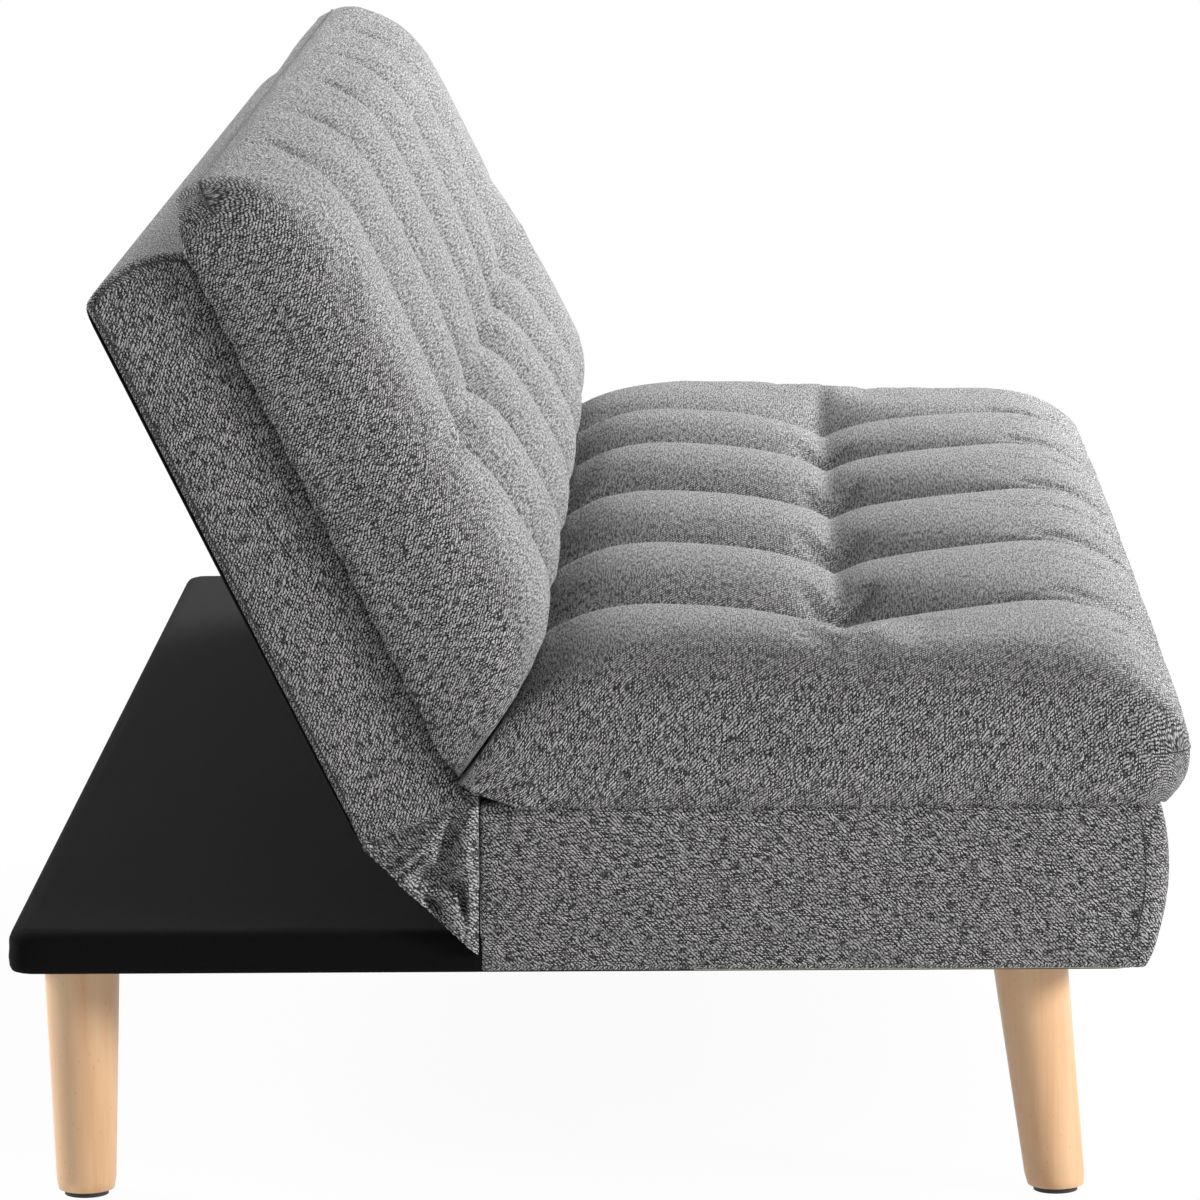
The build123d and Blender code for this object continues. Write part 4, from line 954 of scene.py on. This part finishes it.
hinge_pieces = ("hinge_seat_plate", "hinge_back_plate", "hinge_pivot_pin", "pawl", "pawl_spring")
hinge_clear = seat_half + 0.0002 - max(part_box(f"right_{piece}")[1][0] for piece in hinge_pieces)
for hand, side in (("left", -1), ("right", 1)):
    down = np.concatenate([[-0.10, -0.05], np.linspace(0, 1, 71)])
    t, r = np.meshgrid(np.linspace(0, 1, 91), down, indexing="ij")
    sag = -0.012 * t * (1 - t)
    upper = gusset_rear + (gusset_top - gusset_rear) * t[..., None]
    upper = upper + np.stack([0 * sag, sag], axis=-1)
    lower = gusset_rear + (gusset_foot - gusset_rear) * t[..., None]
    flat = upper + (lower - upper) * r[..., None]
    a = gusset_rear[0] - flat[..., 0]
    b = gusset_rear[1] - flat[..., 1]
    depth = sum(deep * dent(a, b, *spot) for deep, *spot in gusset_folds)
    across_pleat = a * 0.64 + b * 0.77
    depth += 0.0028 * np.sin(across_pleat * 640) * dent(a, b, (0.033, 0.010), (0.020, 0.011), -38)
    depth = np.minimum(depth - 0.006, hinge_clear)
    edge_walk = np.hypot(lower[..., 0] - gusset_rear[0], lower[..., 1] - gusset_rear[1])
    gather = np.exp(-((1 - r) * np.linalg.norm(lower - upper, axis=-1)) / 0.008)
    depth += 0.0016 * np.sin(edge_walk * 1150 + 2.5 * np.sin(edge_walk * 160)) * gather
    depth = depth * np.clip(np.minimum(r * 9, (1 - t) * 12), 0, 1) + 0.005 * np.clip(-r / 0.05, 0, 1)
    sheet = np.concatenate([side * (seat_half + 0.0012 - depth)[..., None], flat], axis=-1)
    gusset = weld(f"{hand}_gusset_cloth", [(sheet, np.stack([a, b], axis=-1), 0.0)], grey_melange)
    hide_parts(f"{hand}_gusset")
    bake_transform(gusset)

# Dust covers: black sheets of fibres bonded by small pressed dots, with a turned hem, stapled over
# the rear of the back and over the whole underside once everything else is in place.
black_spunbond, tap = new_finish("black_spunbond")
fibre = tap.noise(tap.stretched(), 700, 4)
dots = tap.node("ShaderNodeTexVoronoi", {"distance": "CHEBYCHEV"}, {"Vector": tap.stretched(), "Scale": 420})
pressed = (dots < 0.35) * 0.5
tap.feed(
    Base_Color=(fibre * 0.7 + pressed * 0.4).blend((0.004, 0.004, 0.0042, 1), (0.03, 0.03, 0.031, 1)),
    Roughness=0.7 + fibre * 0.25,
    Normal=tap.bumped(fibre - pressed, 0.35, 0.0003),
    Specular_IOR_Level=0.15,
)
hem_width = 0.018
seat_underside, back_rear_face = 0.1769, -0.0602


def dust_sheet(name, half, start, end, place, body):
    """A stapled sheet on its frame; place takes x, the way up the panel and the distance out of it."""
    x, s, *to_edges = panel((-half, half), (start, end), (0.015, 0.015), [0, 0.004, 0.012], 0.02)
    slack = np.clip((np.min(to_edges, axis=0) - hem_width) / 0.04, 0, 1)
    sag = 0.0011 * (1 + np.sin(x * 21 + 2 * np.sin(s * 9)) * np.sin(s * 26 + 0.7)) * slack
    edge, out = rim_ways(x, s)
    turned = np.array([0, 0.0005, 0.0003, -0.005, -0.016])
    inward = np.array([0, 0.0004, 0.0010, 0.0012, 0.0012])
    hem = edge[:, None, :] + out[:, None, :] * turned[None, :, None]
    hem_cloth = np.stack(np.broadcast_arrays(run_length(edge)[:, None], turned), axis=-1)
    sheet = weld(name, [
        (place(x, s, sag), np.stack([x, s], axis=-1), 0.0),
        (place(hem[..., 0], hem[..., 1], np.broadcast_to(-inward, hem.shape[:2])), hem_cloth, 0.0),
    ], black_spunbond)
    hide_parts(name.replace("_sheet", ""))
    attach(sheet, body)
    line = edge - out * 0.010
    staples = [place(line[:, 0], line[:, 1], np.full(len(line), 0.0004))]
    sewn(name + "_staples", staples, 0.055, 0.011, 0.0006, body, zinc)


dust_sheet("seat_dust_cover_sheet", 0.8185, -0.3800, 0.4150,
           lambda x, s, d: np.stack([x, s, seat_underside - d], axis=-1), "seat_frame")
dust_sheet("back_dust_cover_sheet", 0.8235, 0.0290, 0.4520,
           lambda x, s, d: on_back(x, s, back_rear_face - d), "back_frame")

# Studio: white floor and background, a soft key from the far front, a fill from the near front and
# a rim lamp behind. To the camera the floor whitens away from the sofa, and keeps a pale shadow.


def shown(tap):
    """1 on rays that the camera, a gloss or a glass sees, and 0 on those that light the sofa."""
    rays = tap.node("ShaderNodeLightPath", out="Is Camera Ray")
    mirrored = rays.math("MAXIMUM", rays.beside("Is Glossy Ray"), rays.beside("Is Transmission Ray"))
    return rays.math("MAXIMUM", rays, mirrored)


floor_finish, tap = new_finish("studio_floor")
floor_place = tap.node("ShaderNodeTexCoord", out="Object")
speck = tap.noise(floor_place, 3)
tap.feed(Base_Color=speck.blend((0.88, 0.88, 0.88, 1), (0.90, 0.90, 0.90, 1)), Roughness=0.9)
from_sofa = tap.node("ShaderNodeVectorMath", {"operation": "LENGTH"}, {0: floor_place}, "Value")
whitened = tap.node(
    "ShaderNodeMapRange", {"interpolation_type": "SMOOTHSTEP"}, {0: from_sofa, 1: 0.3, 2: 1.5, 3: 0.95, 4: 1.0}
)
surface = Tap(tap.tree, tap.tree.nodes["Principled BSDF"].outputs[0])
white = tap.node("ShaderNodeEmission", None, {"Color": (1, 1, 1, 1), "Strength": 1.0})
floor_mix = tap.node("ShaderNodeMixShader", None, {0: whitened * shown(tap), 1: surface, 2: white})
tap.tree.links.new(floor_mix.socket, tap.tree.nodes["Material Output"].inputs["Surface"])
bpy.ops.mesh.primitive_plane_add(size=30)
floor = bpy.context.object
floor.name = "studio_floor"
floor.data.materials.append(floor_finish)

world = bpy.data.worlds.new("studio")
scene.world = world
world.use_nodes = True
sky = Tap(world.node_tree)
background = world.node_tree.nodes["Background"]
background.inputs["Color"].default_value = (1, 1, 1, 1)
ambient = 0.15
strength = ambient + shown(sky) * (1 - ambient)
world.node_tree.links.new(strength.socket, background.inputs["Strength"])


def softbox(name, place, target, size, power):
    """A square lamp that faces a target."""
    lamp = bpy.data.lights.new(name, "AREA")
    lamp.size = size
    lamp.energy = power
    made = placed(name, lamp)
    made.location = place
    made.rotation_euler = (Vector(target) - Vector(place)).to_track_quat("-Z", "Y").to_euler()


softbox("key", (4.0, -1.8, 1.8), (0, 0, 0.4), 1.4, 350)
softbox("fill", (-2.4, -3.9, 1.8), (0, 0, 0.4), 1.0, 142)
softbox("rim", (0.8, 3.2, 2.0), (0, 0.2, 0.5), 1.4, 128)

# Camera: a long lens beside the near end, a little above the sofa and looking along it.
# Its place, turn and lens were fitted to the straight edges of the sofa in the photograph.
scene.view_settings.view_transform = "Standard"
lens_pixels = 6889.4
photo_pixels = 1200
camera_yaw, camera_pitch = radians(1.218), radians(9.132)
camera = bpy.data.cameras.new("camera")
camera.sensor_width = 36
camera.lens = camera.sensor_width * lens_pixels / photo_pixels
camera_object = placed("camera", camera)
camera_object.location = (-5.6348, -0.10395, 1.21997)
aim = Vector((cos(camera_pitch) * cos(camera_yaw), cos(camera_pitch) * sin(camera_yaw), -sin(camera_pitch)))
camera_roll = Quaternion((0, 0, 1), radians(-0.55))
camera_object.rotation_euler = (aim.to_track_quat("-Z", "Y") @ camera_roll).to_euler()
scene.camera = camera_object
